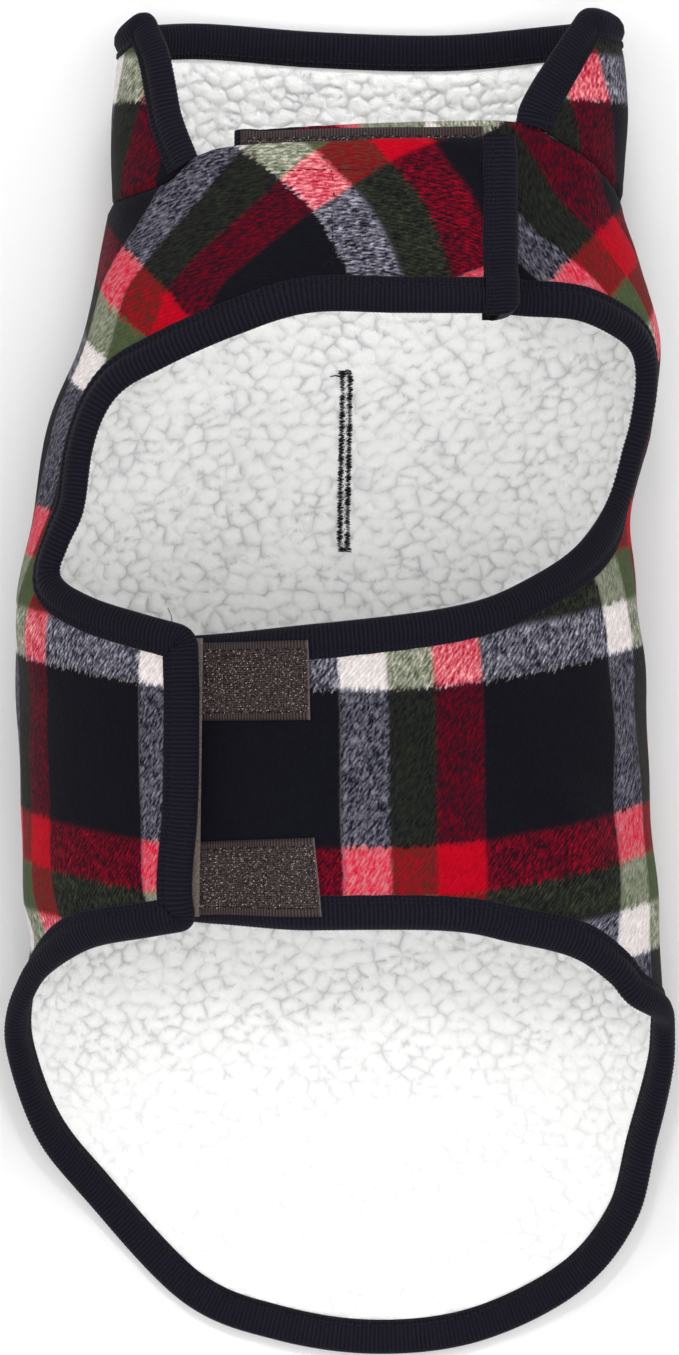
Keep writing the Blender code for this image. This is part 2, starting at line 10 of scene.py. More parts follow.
import bpy
import numpy as np
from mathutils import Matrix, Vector, kdtree
from mathutils.geometry import delaunay_2d_cdt


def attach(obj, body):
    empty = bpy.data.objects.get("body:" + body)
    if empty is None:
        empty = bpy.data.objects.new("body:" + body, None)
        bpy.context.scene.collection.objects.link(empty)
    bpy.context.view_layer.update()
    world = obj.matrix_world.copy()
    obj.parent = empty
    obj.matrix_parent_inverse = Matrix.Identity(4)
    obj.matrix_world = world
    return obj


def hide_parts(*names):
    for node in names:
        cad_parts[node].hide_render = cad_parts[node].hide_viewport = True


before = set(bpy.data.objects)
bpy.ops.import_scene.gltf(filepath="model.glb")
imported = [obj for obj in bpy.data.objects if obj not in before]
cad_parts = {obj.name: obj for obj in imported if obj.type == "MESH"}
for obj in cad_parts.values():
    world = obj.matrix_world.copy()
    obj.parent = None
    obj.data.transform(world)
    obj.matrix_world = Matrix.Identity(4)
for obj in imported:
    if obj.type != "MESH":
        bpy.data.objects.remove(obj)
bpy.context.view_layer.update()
bpy.ops.object.select_all(action="DESELECT")

# ---------------------------------------------------------------------------------------------------- camera
# It looks straight down on the belly from 3 m, so far away that the coat's height hardly widens its outline.
# The picture is as tall as the coat is long.
CAMERA_PLACE = (0.00004, 0.0026, 3.0)
PICTURED_LENGTH = 0.4336  # m of the coat's middle height that the picture's long side takes in
MIDDLE_HEIGHT = 0.045
SENSOR = 24.0

camera_data = bpy.data.cameras.new("camera")
camera_data.sensor_fit = "VERTICAL"
camera_data.sensor_height = SENSOR
camera_data.lens = SENSOR * (CAMERA_PLACE[2] - MIDDLE_HEIGHT) / PICTURED_LENGTH
camera = bpy.data.objects.new("camera", camera_data)
camera.location = CAMERA_PLACE
bpy.context.scene.collection.objects.link(camera)
bpy.context.scene.camera = camera

# ------------------------------------------------------------------------------------------------ body shell
# The outer cloth of the body, brushed plaid flannel 1 mm thick, is cut as one panel. It goes round the back,
# and its wings close over the belly and under the neck. It is turned in and sewn to the collar at the neck.
MM = 0.001
ORIGIN = np.array((-0.2, -2.6, 0.0))  # where the tables have the middle of the coat, mm
SHELL_WALL = 1.0
SHELL_SPACING = 2.3
SEAM_GAP = 0.3

# The hollow form that the closed coat takes: its cross-sections from the collar's top to the tail flap's end
Section = namedtuple("Section", "along left right wide_left wide_right top")
SECTIONS = (
    Section(218, -67, 86, 31, 31, 69),
    Section(205, -70, 89.5, 32, 32, 73),
    Section(184, -71.5, 91, 33, 33, 77),
    Section(165, -72.2, 89.8, 33, 33, 80),
    Section(151, -72.6, 89.4, 33, 33, 82),
    Section(134, -75.5, 94, 35, 35, 85),
    Section(108, -82, 101.6, 38, 37, 89),
    Section(82, -91, 99.4, 40, 38, 92),
    Section(50, -97, 91.6, 42, 38, 96),
    Section(25, -102.4, 94, 41, 38, 99),
    Section(-7, -101.8, 96.3, 39, 38, 101),
    Section(-45, -100.8, 98.2, 38, 38, 101),
    Section(-71, -99.8, 100.4, 38, 38, 100),
    Section(-84, -97.8, 101, 38, 38, 98),
    Section(-97, -101, 102.3, 40, 40, 97),
    Section(-116, -108.4, 106.5, 45, 45, 94),
    Section(-148, -109, 109, 48, 48, 92),
    Section(-222, -109, 109, 48, 48, 90),
)
FLAT_SHARE = 0.42
TOP_FULLNESS = 2.15
LIFTS = ((-165, -215, 5.0), (180, 210, 5.0))  # the flap's end and the collar's end curl up off the floor
Sink = namedtuple("Sink", "outer_x inner_x depth")
NECK_SINK = Sink(80, 60, 5.8)
BELLY_SINK = Sink(-8, -42, 8.4)
NECK_FROM = 60

# The body panel's edges. A point's lie says whether it is over the belly, on the side or under the back.
Point = namedtuple("Point", "x along lie")


def lying(lie, *places):
    """Points of an edge that lie alike, from their (x, along)."""
    return [Point(x, along, lie) for x, along in places]


NECK_LEFT = [
    *lying("over", (55, 171.5), (10, 170), (-31.5, 168.5), (-45.5, 165), (-56.5, 156.5)),
    *lying("side", (-72.5, 151)),
    *lying("under", (-30, 151.5)),
]
NECK_RIGHT = [
    *lying("under", (40, 151.5)),
    *lying("side", (89.5, 152.5)),
    *lying("over", (74.5, 168), (64.5, 175), (49.5, 177.5), (0, 176), (-34.5, 174.5)),
]
RIGHT_NECK_END = lying("over", (-34.5, 174.5), (-33.5, 146.5), (-33.5, 118.5))
RIGHT_LEG = [
    *lying("over", (-33.5, 118.5), (20, 119.5), (54.5, 117.5), (73.5, 115.5), (87.5, 110.5), (96, 103.5)),
    *lying("over", (97.5, 91.5), (94, 74), (89.5, 58), (79.5, 43.5), (61, 30.5), (39.5, 22), (0, 16.5)),
    *lying("over", (-65, 11)),
]
RIGHT_BELLY_END = lying("over", (-65, 11), (-65, -31.5), (-65, -75))
TAIL = [
    *lying("over", (-65, -75), (-39.5, -78.5), (29.5, -78.5), (55, -82.5), (75, -87.5), (88, -96)),
    *lying("over", (95.5, -103.5)),
    *lying("side", (104, -111)),
    *lying("under", (106, -125.5), (101.5, -149.5), (95.5, -174.5), (78, -197.5), (46.5, -213.5), (13, -218)),
    *lying("under", (-20.5, -213.5), (-50.5, -201.5), (-82, -168.5), (-98, -147), (-106, -122.5)),
    *lying("side", (-104, -106)),
    *lying("over", (-97, -94.5), (-81, -85), (-61, -81), (-46, -78.5)),
]
LEFT_BELLY_END = lying("over", (-46, -78.5), (-46, -31.5), (-46, 14.5))
LEFT_LEG = [
    *lying("over", (-46, 14.5), (-63, 19), (-80, 24.5), (-91.5, 32.5), (-89, 42.5), (-84, 53.5), (-81, 73.5)),
    *lying("over", (-73, 90.5), (-57.5, 99.5), (-33.5, 109.5), (-10, 116.5), (19.5, 116.5), (55, 116.5)),
]
LEFT_NECK_END = lying("over", (55, 116.5), (55, 147), (55, 171.5))
CORNER_RADIUS = 6.0


def eased(value, start=0.0, end=1.0):
    """0 at start, 1 at end, and smooth between them."""
    t = np.clip((value - start) / (end - start), 0.0, 1.0)
    return t * t * (3 - 2 * t)


class CoatForm:
    """The tube through SECTIONS. A place on it is (around, along): around is the distance from the middle of
    the back, negative to the left, and a wing's runs past the middle of the belly."""

    STEP = 0.5  # mm between the cross-sections that are worked out
    PLACES = 300  # round each half of one

    def __init__(self):
        ordered = sorted(SECTIONS)
        self.stations = np.array([s.along for s in ordered], float)
        self.values = np.array([s[1:] for s in ordered], float)
        self.slopes = np.gradient(self.values, self.stations, axis=0)
        self.start = self.stations[0]
        count = int((self.stations[-1] - self.start) / self.STEP) + 1
        share = np.linspace(0, 1, self.PLACES)
        self.reach, self.widest = np.zeros((2, count)), np.zeros((2, count))
        self.spots = np.zeros((2, count, self.PLACES, 2))
        for row in range(count):
            for side, (lengths, xs, zs, widest) in self.halves(self.start + row * self.STEP).items():
                half = (side + 1) // 2
                at = share * lengths[-1]
                self.reach[half, row], self.widest[half, row] = lengths[-1], widest
                self.spots[half, row] = np.stack([np.interp(at, lengths, xs), np.interp(at, lengths, zs)], 1)

    def sizes(self, along):
        """The sizes of the cross-section at a place along the coat, as SECTIONS names them."""
        i = int(np.clip(np.searchsorted(self.stations, along) - 1, 0, len(self.stations) - 2))
        span = self.stations[i + 1] - self.stations[i]
        t = (along - self.stations[i]) / span
        start = (1 + 2 * t) * (1 - t) ** 2
        return (
            start * self.values[i]
            + (1 - start) * self.values[i + 1]
            + t * (1 - t) ** 2 * span * self.slopes[i]
            - t * t * (1 - t) * span * self.slopes[i + 1]
        )

    def halves(self, along):
        """{-1: left, 1: right}: each half as (lengths, xs, zs, length to the widest point), back to belly."""
        left, right, wide_left, wide_right, top = self.sizes(along)
        middle = (left + right) / 2
        turn = np.linspace(0, math.pi / 2, 90)
        halves = {}
        for side, widest, height in ((-1, left, wide_left), (1, right, wide_right)):
            reach = abs(widest - middle)
            flat = FLAT_SHARE * reach
            over = reach * np.cos(turn[1:]) ** (2 / TOP_FULLNESS)
            rise = (top - height) * np.sin(turn[1:]) ** (2 / TOP_FULLNESS)
            out = np.concatenate([[0], flat + (reach - flat) * np.sin(turn), over])
            up = np.concatenate([[0], height * (1 - np.cos(turn)), height + rise])
            lengths = np.concatenate([[0], np.cumsum(np.hypot(np.diff(out), np.diff(up)))])
            halves[side] = (lengths, middle + side * out, up, lengths[len(turn)])
        return halves

    def bare(self, pattern):
        """The places of pattern points on the form, mm."""
        around, along = pattern[:, 0], pattern[:, 1]
        row = np.clip((along - self.start) / self.STEP, 0, self.reach.shape[1] - 1.001)
        i = row.astype(int)
        part = row - i
        reach = self.reach[:, i] * (1 - part) + self.reach[:, i + 1] * part
        side = (around >= 0).astype(int)
        own, other = np.where(side, reach[1], reach[0]), np.where(side, reach[0], reach[1])
        past = np.abs(around) - own
        share = np.where(past > 0, (other - past) / other, np.abs(around) / own)
        side = np.where(past > 0, 1 - side, side)
        column = np.clip(share, 0, 1) * (self.PLACES - 1.001)
        j = column.astype(int)
        part, rest = part[:, None], (column - j)[:, None]
        near = self.spots[side, i, j] * (1 - rest) + self.spots[side, i, j + 1] * rest
        far = self.spots[side, i + 1, j] * (1 - rest) + self.spots[side, i + 1, j + 1] * rest
        spot = near * (1 - part) + far * part
        lift = sum(height * eased(along, start, end) for start, end, height in LIFTS)
        return np.stack([spot[:, 0], along, spot[:, 1] + lift], axis=1)

    def place(self, pattern):
        """The same, sunk where a right wing passes under a left one."""
        bare = self.bare(pattern)
        row = np.clip((pattern[:, 1] - self.start) / self.STEP, 0, self.reach.shape[1] - 1)
        over = pattern[:, 0] > self.widest[1, row.astype(int)]
        at_neck = pattern[:, 1] > NECK_FROM
        depth = np.zeros(len(pattern))
        for sink, there in ((NECK_SINK, at_neck), (BELLY_SINK, ~at_neck)):
            depth += there * sink.depth * eased(-bare[:, 0], -sink.outer_x, -sink.inner_x)
        return bare - (depth * over)[:, None] * outward(self.bare, pattern)

    def pattern_point(self, point, side):
        """(around, along) of an edge point of the wing or panel that comes from that side."""
        halves = self.halves(point.along)
        lengths, xs, _, widest = halves[side]
        if point.lie == "side":
            return np.array([side * widest, point.along])
        if point.lie == "under":
            below = lengths <= widest + 1e-6
            length = np.interp(side * point.x, side * xs[below], lengths[below])
        elif side * (point.x - xs[-1]) >= 0:
            over = lengths >= widest - 1e-6
            length = np.interp(-side * point.x, -side * xs[over], lengths[over])
        else:
            far_lengths, far_xs, _, far_widest = halves[-side]
            over = far_lengths >= far_widest - 1e-6
            from_far_side = np.interp(side * point.x, side * far_xs[over], far_lengths[over])
            length = lengths[-1] + far_lengths[-1] - from_far_side
        return np.array([side * length, point.along])


def unit(vectors):
    """The same directions, each 1 long."""
    return vectors / np.linalg.norm(vectors, axis=1)[:, None]


def outward(surface, pattern, step=0.8):
    """The directions out of the coat at pattern points of a surface."""
    across = surface(pattern + (step, 0)) - surface(pattern - (step, 0))
    lengthways = surface(pattern + (0, step)) - surface(pattern - (0, step))
    return unit(np.cross(lengthways, across))


form = CoatForm()


def on_pattern(points, side=None):
    """The edge's points on the pattern. Without a side, each belongs to the side that it lies on."""
    return np.array([form.pattern_point(p, side or (1 if p.x >= 0 else -1)) for p in points])


def lengths_along(path):
    return np.concatenate([[0], np.cumsum(np.linalg.norm(np.diff(path, axis=0), axis=1))])


def resampled(path, step):
    """The path with its points spread evenly, about a step apart."""
    lengths = lengths_along(path)
    at = np.linspace(0, lengths[-1], max(1, round(lengths[-1] / step)) + 1)
    return np.stack([np.interp(at, lengths, path[:, k]) for k in range(path.shape[1])], axis=1)


def smooth_path(points, step=1.0):
    """The curve through the points."""
    padded = np.vstack([2 * points[0] - points[1], points, 2 * points[-1] - points[-2]])
    t = np.linspace(0, 1, 16, endpoint=False)[:, None]
    stretches = [
        0.5 * (2 * b + (c - a) * t + (2 * a - 5 * b + 4 * c - d) * t**2 + (3 * b - a - 3 * c + d) * t**3)
        for a, b, c, d in zip(padded, padded[1:], padded[2:], padded[3:])
    ]
    return resampled(np.vstack([*stretches, points[-1:]]), step)


def rounded_join(first, second, radius=CORNER_RADIUS):
    """Two edges that meet at a corner, as one path with the corner cut round."""
    corner = first[-1]
    before = first[np.linalg.norm(first - corner, axis=1) > radius * 1.1]
    after = second[np.linalg.norm(second - corner, axis=1) > radius * 1.1]
    start = corner + radius * (before[-1] - corner) / np.linalg.norm(before[-1] - corner)
    end = corner + radius * (after[0] - corner) / np.linalg.norm(after[0] - corner)
    t = np.linspace(0, 1, 12)[:, None]
    return np.vstack([before, (1 - t) ** 2 * start + 2 * t * (1 - t) * corner + t * t * end, after])


def body_bound_edge():
    """The body's bound edge, from the left neck wing's top round the coat to the right neck wing's top."""
    right, left = (i for i, point in enumerate(TAIL) if point.lie == "side")
    tail = (on_pattern(TAIL[:right], 1), on_pattern(TAIL[right : left + 1]), on_pattern(TAIL[left + 1 :], -1))
    edge = smooth_path(on_pattern(LEFT_NECK_END, -1)[::-1])
    for placed in (
        on_pattern(LEFT_LEG, -1),
        on_pattern(LEFT_BELLY_END, -1),
        np.vstack(tail),
        on_pattern(RIGHT_BELLY_END, 1),
        on_pattern(RIGHT_LEG, 1),
        on_pattern(RIGHT_NECK_END, 1),
    ):
        edge = rounded_join(edge, smooth_path(placed[::-1]))
    return edge


def inside(outline, points):
    """Whether each point is inside the outline, by how often a line to its right crosses it."""
    found = np.zeros(len(points), bool)
    for (ax, ay), (bx, by) in zip(outline, np.roll(outline, -1, axis=0)):
        if ay != by:
            crosses = (ay > points[:, 1]) != (by > points[:, 1])
            found ^= crosses & (points[:, 0] < ax + (points[:, 1] - ay) * (bx - ax) / (by - ay))
    return found


def search_tree(points):
    tree = kdtree.KDTree(len(points))
    for number, place in enumerate(points):
        tree.insert((*place, 0)[:3], number)
    tree.balance()
    return tree


def nearest(path, points):
    """How far each point is from a path, and which of the path's points is the nearest."""
    tree = search_tree(path)
    found = [tree.find((*place, 0)[:3]) for place in points]
    return np.array([f[2] for f in found]), np.array([f[1] for f in found])


def clockwise(outline):
    x, y = outline.T
    turns_left = (x * np.roll(y, -1) - y * np.roll(x, -1)).sum() > 0
    return outline[::-1] if turns_left else outline


def staggered(outline, spacing):
    """Points in staggered rows over the outline's box."""
    low, high = outline.min(axis=0), outline.max(axis=0)
    rows = np.arange(low[1], high[1], spacing * 0.866)
    columns = np.arange(low[0], high[0], spacing)
    shifts = np.where(np.arange(len(rows)) % 2, 0.5 * spacing, 0.0)
    return np.stack([(columns + shifts[:, None]).ravel(), np.repeat(rows, len(columns))], axis=1)


def triangulated(points, loop=None):
    """(points, triangles) of a Delaunay mesh of flat points, or of the part of it inside a loop of them."""
    loops, kept = ([loop], 1) if loop else ([], 0)
    placed, _, faces, *_ = delaunay_2d_cdt([Vector(p) for p in points], [], loops, kept, 1e-5)
    return np.array([p[:] for p in placed]), np.array(faces)


def cut_panel(outline, places, clear):
    """A flat piece as (points, triangles): the outline's points first, then the places inside it that are
    clear of it. The triangles face out of the coat."""
    places = places[inside(outline, places)]
    points = np.vstack([outline, places[nearest(outline, places)[0] > clear]])
    placed, faces = triangulated(points, list(range(len(outline))))
    a, b, c = (placed[faces[:, k]] for k in range(3))
    turns_left = np.cross(b - a, c - a) > 0
    faces[turns_left] = faces[turns_left][:, ::-1]
    return placed, faces


def closed_sheet(outer, inner, outer_faces, inner_faces, rim):
    """(points, faces) of a sheet with two sides, whose first points, as many as rim, are its edge."""
    edge = np.arange(rim)
    after = np.roll(edge, -1)
    rims = np.stack([after, edge, edge + len(outer), after + len(outer)], axis=1)
    faces = [*outer_faces.tolist(), *(inner_faces[:, ::-1] + len(outer)).tolist(), *rims.tolist()]
    return np.vstack([outer, inner]), faces


def new_piece(name, finish, points, faces, marks):
    """A mesh object from points in mm. Marks are each point's place on the cloth in mm, kept as a UV map."""
    mesh = bpy.data.meshes.new(name)
    mesh.from_pydata(((np.asarray(points) - ORIGIN) * MM).tolist(), [], faces)
    mesh.shade_smooth()
    mesh.materials.append(finish)
    corners = np.zeros(len(mesh.loops), int)
    mesh.loops.foreach_get("vertex_index", corners)
    mesh.uv_layers.new(name="cloth").data.foreach_set("uv", np.asarray(marks, float)[corners].ravel())
    piece = bpy.data.objects.new(name, mesh)
    bpy.context.scene.collection.objects.link(piece)
    return piece


def linear(code):
    """A colour's sRGB hex code as linear values."""
    values = [int(code[i : i + 2], 16) / 255 for i in (0, 2, 4)]
    return (*(v / 12.92 if v <= 0.04045 else ((v + 0.055) / 1.055) ** 2.4 for v in values), 1.0)


def feed(node, *values, **named):
    """Fills a node's inputs, by number or by name with spaces as underscores, with values or with links from
    other nodes' outputs. A node stands for its first output."""
    for key, value in (*enumerate(values), *named.items()):
        socket = node.inputs[key.replace("_", " ") if isinstance(key, str) else key]
        if isinstance(value, bpy.types.Node):
            value = value.outputs[0]
        if isinstance(value, bpy.types.NodeSocket):
            node.id_data.links.new(value, socket)
        else:
            socket.default_value = value


def add_node(tree, kind, *values, stops=(), **named):
    """Adds a node with its inputs, its settings, which are those named in small letters, and a colour ramp's
    stops, each (place, colour)."""
    node = tree.nodes.new("ShaderNode" + kind)
    for name in filter(str.islower, tuple(named)):
        setattr(node, name, named.pop(name))
    feed(node, *values, **named)
    if stops:
        ramp = node.color_ramp.elements
        ramp[0].position, ramp[1].position = stops[0][0], stops[-1][0]
        for at, _ in stops[1:-1]:
            ramp.new(at)
        for stop, (_, colour) in zip(ramp, stops):
            stop.color = linear(colour) if isinstance(colour, str) else (*colour, 1.0)
    return node


def new_material(name, **values):
    """A material with a Principled shader that is fed the values, its node tree, and that shader."""
    made = bpy.data.materials.new(name)
    made.use_nodes = True
    shader = made.node_tree.nodes["Principled BSDF"]
    feed(shader, **values)
    return made, made.node_tree, shader


# Brushed flannel: matt, with a soft nap that takes no highlight. Brushing pulls the rows' edges out into
# short tongues.
CHECK = 93.1  # one repeat of the check, mm
STRIPES = (  # where each stripe of a repeat ends, mm, and its thread
    (7.3, "cream"),
    (22.2, "green"),
    (37.5, "red"),
    (85.8, "navy"),
    (93.1, "cream"),
)
THREADS = {"cream": "E8DFDC", "green": "485437", "red": "B2001B", "navy": "101018"}
STRIPE_BLUR = 1.5  # mm
TWILL_PITCH = 1.6  # mm along the cloth, coarser than its threads so that it shows
NAP_WIDTH, NAP_LENGTH = 0.88, 2.7  # mm, one tuft of the nap
NAP_LEAN = math.radians(-27)
TUFT_SIZE, TUFT_SHARE = 1.15, 0.32  # tufts for each mm, and their share beside the nap's own noise
NAP_LEVEL = 0.66  # the middle of the two noises' sum
FRAY = (1.9, 5.4)  # mm across and along that a stripe's edge moves, for the noise's whole range
COVER = {"navy": 0.0, "green": 0.56, "red": 0.68, "cream": 1.0}  # dark threads are hairier and hide pale ones
HIDING = 0.22  # how much of a square's mix that shifts, between navy and cream
CROSSINGS = (  # how far apart the covers of two crossing threads are, and how their fibres tint the mix
    (0.0, (1.0, 1.0, 1.0)),
    (0.12, (0.94, 0.7, 0.72)),
    (0.32, (1.05, 0.92, 0.9)),
    (0.44, (0.96, 0.97, 0.95)),
    (0.56, (0.88, 0.84, 0.86)),
    (0.68, (1.03, 0.95, 0.99)),
    (1.0, (1.03, 1.05, 1.13)),
)
PATCHY = 0.4  # how much the mix drifts over some millimetres
NAP_CONTRAST, TWILL_CONTRAST = 1.45, 0.06
NAP_SHADE, TWILL_SHADE = 0.45, 0.035
WEAR, DARKEST = 0.14, 0.89  # how much the cloth's wear lightens it, and what it is where there is none
TWILL_WANDER = 1.6  # mm that the nap moves the twill's lines
WEFT_COVER = 0.54
GAMMA = 2.2  # the threads' colours are mixed as the eye sees them

flannel, tree, shader = new_material(
    "brushed plaid flannel", Roughness=0.95, Specular_IOR_Level=0.08, Sheen_Weight=0.03, Sheen_Roughness=0.5
)
cloth = add_node(tree, "UVMap", uv_map="cloth")
nap_place = add_node(
    tree, "Mapping", cloth, Rotation=(0, 0, NAP_LEAN), Scale=(NAP_WIDTH, NAP_LENGTH, 1), vector_type="TEXTURE"
)
nap = add_node(tree, "TexNoise", nap_place, Scale=1.0, Detail=3.0, Distortion=0.3)
tufts = add_node(tree, "TexNoise", cloth, Scale=TUFT_SIZE, Detail=2.0, Distortion=0.5)
nap = add_node(tree, "Math", tufts, TUFT_SHARE, nap, operation="MULTIPLY_ADD")
nap = add_node(tree, "Math", nap, NAP_LEVEL, operation="SUBTRACT")
lumps = add_node(tree, "TexNoise", cloth, Scale=0.12, Detail=3.0)
across, along = add_node(tree, "SeparateXYZ", cloth).outputs[:2]
colours, covers = [(0.0, THREADS["cream"])], [(0.0, [COVER["cream"]] * 3)]
for (end, thread), (_, following) in zip(STRIPES, STRIPES[1:]):
    colours.append(((end - STRIPE_BLUR / 2) / CHECK, THREADS[thread]))
    colours.append(((end + STRIPE_BLUR / 2) / CHECK, THREADS[following]))
    covers.append((end / CHECK, [COVER[following]] * 3))
colours.append((1.0, THREADS["cream"]))
threads = []
for socket, fray in zip((across, along), FRAY):
    moved = add_node(tree, "Math", nap, fray, socket, operation="MULTIPLY_ADD")
    repeats = add_node(tree, "Math", moved, CHECK, operation="DIVIDE")
    part = add_node(tree, "Math", repeats, operation="FRACT")
    softened = add_node(tree, "Gamma", add_node(tree, "ValToRGB", part, stops=colours), 1 / GAMMA)
    cover = add_node(tree, "ValToRGB", part, stops=covers)
    cover.color_ramp.interpolation = "CONSTANT"
    threads.append((softened, cover))
(warp, warp_cover), (weft, weft_cover) = threads
slant = add_node(tree, "Math", along, across, operation="SUBTRACT")
slant = add_node(tree, "Math", nap, TWILL_WANDER, slant, operation="MULTIPLY_ADD")
slant = add_node(tree, "Math", slant, math.tau / TWILL_PITCH, operation="MULTIPLY")
twill = add_node(tree, "Math", slant, operation="SINE")
darker = add_node(tree, "Math", warp_cover, weft_cover, operation="SUBTRACT")
over, shade = WEFT_COVER - PATCHY / 2, DARKEST
for drift, weight in ((twill, TWILL_CONTRAST), (nap, NAP_CONTRAST), (lumps, PATCHY), (darker, HIDING)):
    over = add_node(tree, "Math", drift, weight, over, operation="MULTIPLY_ADD")
for drift, weight in ((lumps, WEAR), (nap, NAP_SHADE), (twill, TWILL_SHADE)):
    shade = add_node(tree, "Math", drift, weight, shade, operation="MULTIPLY_ADD")
woven = add_node(tree, "Mix", over, A=warp, B=weft, data_type="RGBA").outputs["Result"]
apart = add_node(tree, "Math", darker, operation="ABSOLUTE")
tint = add_node(tree, "ValToRGB", apart, stops=CROSSINGS)
woven = add_node(tree, "VectorMath", woven, tint, operation="MULTIPLY")
woven = add_node(tree, "VectorMath", woven, Scale=shade, operation="SCALE")
raised = add_node(tree, "Math", twill, 0.2, nap, operation="MULTIPLY_ADD")
bump = add_node(tree, "Bump", Height=raised, Strength=0.35, Distance=0.0008)
feed(shader, Base_Color=add_node(tree, "Gamma", woven, GAMMA), Normal=bump)

# How the check lies. It runs straight round the back and the belly. The neck is a cone, so that on the wings
# that close it the grain turns more the further they reach round.
BACK_PHASE = 237.1  # mm of the check across, at the middle of the back
LEFT_SPREAD, WING_SPREAD = 0.0915, 0.32  # how much wider it runs round to the left, and past the side
SIDE, BELLY = 110, 235  # mm round from the middle of the back
ROW_SCALE = 0.967
CREAM_ROW = 3.9  # along, in the middle of the belly
ROW_RISE = 16.0  # how much higher the same row is on the back
RIGHT_LEAN = 0.05  # mm that the right belly wing's columns lean for each mm along
LEFT_STEP = 2.3  # mm that the left belly wing's rows are further along
TURN_FROM = 49.0  # mm round from the middle of the back
TURN_RADIUS = (168.8, 0.52)  # mm at the collar's seam, and the change for each mm further along
COLUMN_RADIUS = (169.9, 1.28)
ROW_RADIUS = (177.6, 1.34)
ROW_DROP = 0.33  # mm that the turned rows drop for each mm further along
RIGHT_SHIFT = (6.5, -6.2)  # mm across and along, how far the right wing's check is out of step
SEAM_ALONG = 140.0
NECK_BLEND = (45, 120)  # along, where the belly's check gives way to the neck's
LEG_SHIFT = 15  # mm that the columns are drawn round beside the left of the leg opening


def row_at(reach, along):
    """The check's row at this distance round from the middle of the back."""
    return CHECK + ROW_SCALE * (along - CREAM_ROW - ROW_RISE * eased(BELLY - reach, 0, 135))


def check_on_body(pattern):
    """Each pattern point's place on the check, mm across and along."""
    left, along = -pattern[:, 0], pattern[:, 1]
    reach = np.abs(left)
    column = BACK_PHASE + left + LEFT_SPREAD * np.clip(left, 0, SIDE)
    column += WING_SPREAD * np.clip(left - SIDE, 0, None)
    column -= RIGHT_LEAN * (along - CREAM_ROW) * eased(-left, 130, 180)
    row = row_at(reach, along) + LEFT_STEP * eased(left, 90, 130)
    beyond = along - SEAM_ALONG
    turn_radius, column_radius, row_radius = (
        size - less * beyond for size, less in (TURN_RADIUS, COLUMN_RADIUS, ROW_RADIUS)
    )
    turned = np.clip(reach - TURN_FROM, 0, None) / turn_radius
    start = BACK_PHASE + TURN_FROM * np.where(left > 0, 1 + LEFT_SPREAD, -1)
    shift_across, shift_along = (shift * eased(-left, 0, 110) for shift in RIGHT_SHIFT)
    turned_column = start + np.sign(left) * column_radius * np.sin(turned) + shift_across
    turned_column = np.where(reach > TURN_FROM, turned_column, column)
    turned_row = row_at(TURN_FROM, SEAM_ALONG) + ROW_RADIUS[0] - row_radius * np.cos(turned)
    turned_row += shift_along - ROW_DROP * beyond
    share = eased(along, *NECK_BLEND)
    column = column * (1 - share) + turned_column * share
    row = row * (1 - share) + turned_row * share
    column -= LEG_SHIFT * eased(along, 15, 75) * eased(along, 128, 95) * eased(left, 60, 130)
    return np.stack([column, row], axis=1)


def smooth_noise(pattern, size, seed):
    """Soft random waves from -1 to 1, about size mm long."""
    made = np.zeros(len(pattern))
    random = np.random.default_rng(seed)
    for _ in range(7):
        turn, phase = random.uniform(0, math.tau, 2)
        stretch = random.uniform(0.7, 1.5) * math.tau / size
        made += np.sin(stretch * (pattern[:, 0] * math.cos(turn) + pattern[:, 1] * math.sin(turn)) + phase)
    return made / 4


BINDING_WIDTH = 10.2
SWELL, PUCKER, WAVES = 1.1, 0.22, 0.8  # mm that the cloth swells, puckers and waves out
PUCKER_PITCH, WAVE_LENGTH = 9.5, 46
UNDER_TAPE = 1.5  # mm of the swelling cloth that the binding covers
SWELL_REACH, PUCKER_REACH = 4.5, 6  # mm from there over which the cloth swells, and its puckers fade
ROLL, ROLL_WIDTH = 1.5, 2.6  # mm that a plain edge rolls in, and over how much of the cloth
SEWN_DIP, DIP_WIDTH = 1.0, 1.5
SLIT_DIP, SLIT_HELD = 0.6, (5.5, 3.4)  # mm in, and mm from the slit where the cloth is free and where flat


def shell_height(pattern, bound, plain, seed, sewn=(), slit=None):
    """How far the cloth stands out from the form. It swells beside the binding's stitches, puckers along them
    and rolls in at its plain edge. It is drawn in along the lines where something is sewn to its inside, and
    held flat by a worked slit."""
    from_binding, number = nearest(bound, pattern)
    beyond = np.clip(from_binding - BINDING_WIDTH + UNDER_TAPE, 0, None)
    swell = SWELL * (1 - np.exp(-beyond / SWELL_REACH))
    pucker = np.sin(number / PUCKER_PITCH * math.tau + 2.5 * smooth_noise(pattern, 60, seed))
    pucker = PUCKER * pucker * np.exp(-beyond / PUCKER_REACH) * eased(beyond, 0, UNDER_TAPE)
    waves = WAVES * (smooth_noise(pattern, WAVE_LENGTH, seed + 1) + 0.6) * eased(beyond, 0, 20)
    rolled = 1 - np.clip(nearest(plain, pattern)[0] / ROLL_WIDTH, 0, 1)
    height = swell + pucker + waves - ROLL * (1 - np.sqrt(1 - rolled**2)) * (from_binding > 0.5)
    for line in sewn:
        height -= SEWN_DIP * np.exp(-((nearest(line, pattern)[0] / DIP_WIDTH) ** 2))
    if slit is not None:
        held = eased(nearest(slit, pattern)[0], *SLIT_HELD)
        height = height * (1 - held) - SLIT_DIP * held
    return height


body_bound = body_bound_edge()
body_neck = smooth_path(np.vstack([on_pattern(NECK_LEFT, -1), on_pattern(NECK_RIGHT, 1)]))
body_bound, body_neck = resampled(body_bound, 1.0), resampled(body_neck, 1.0)


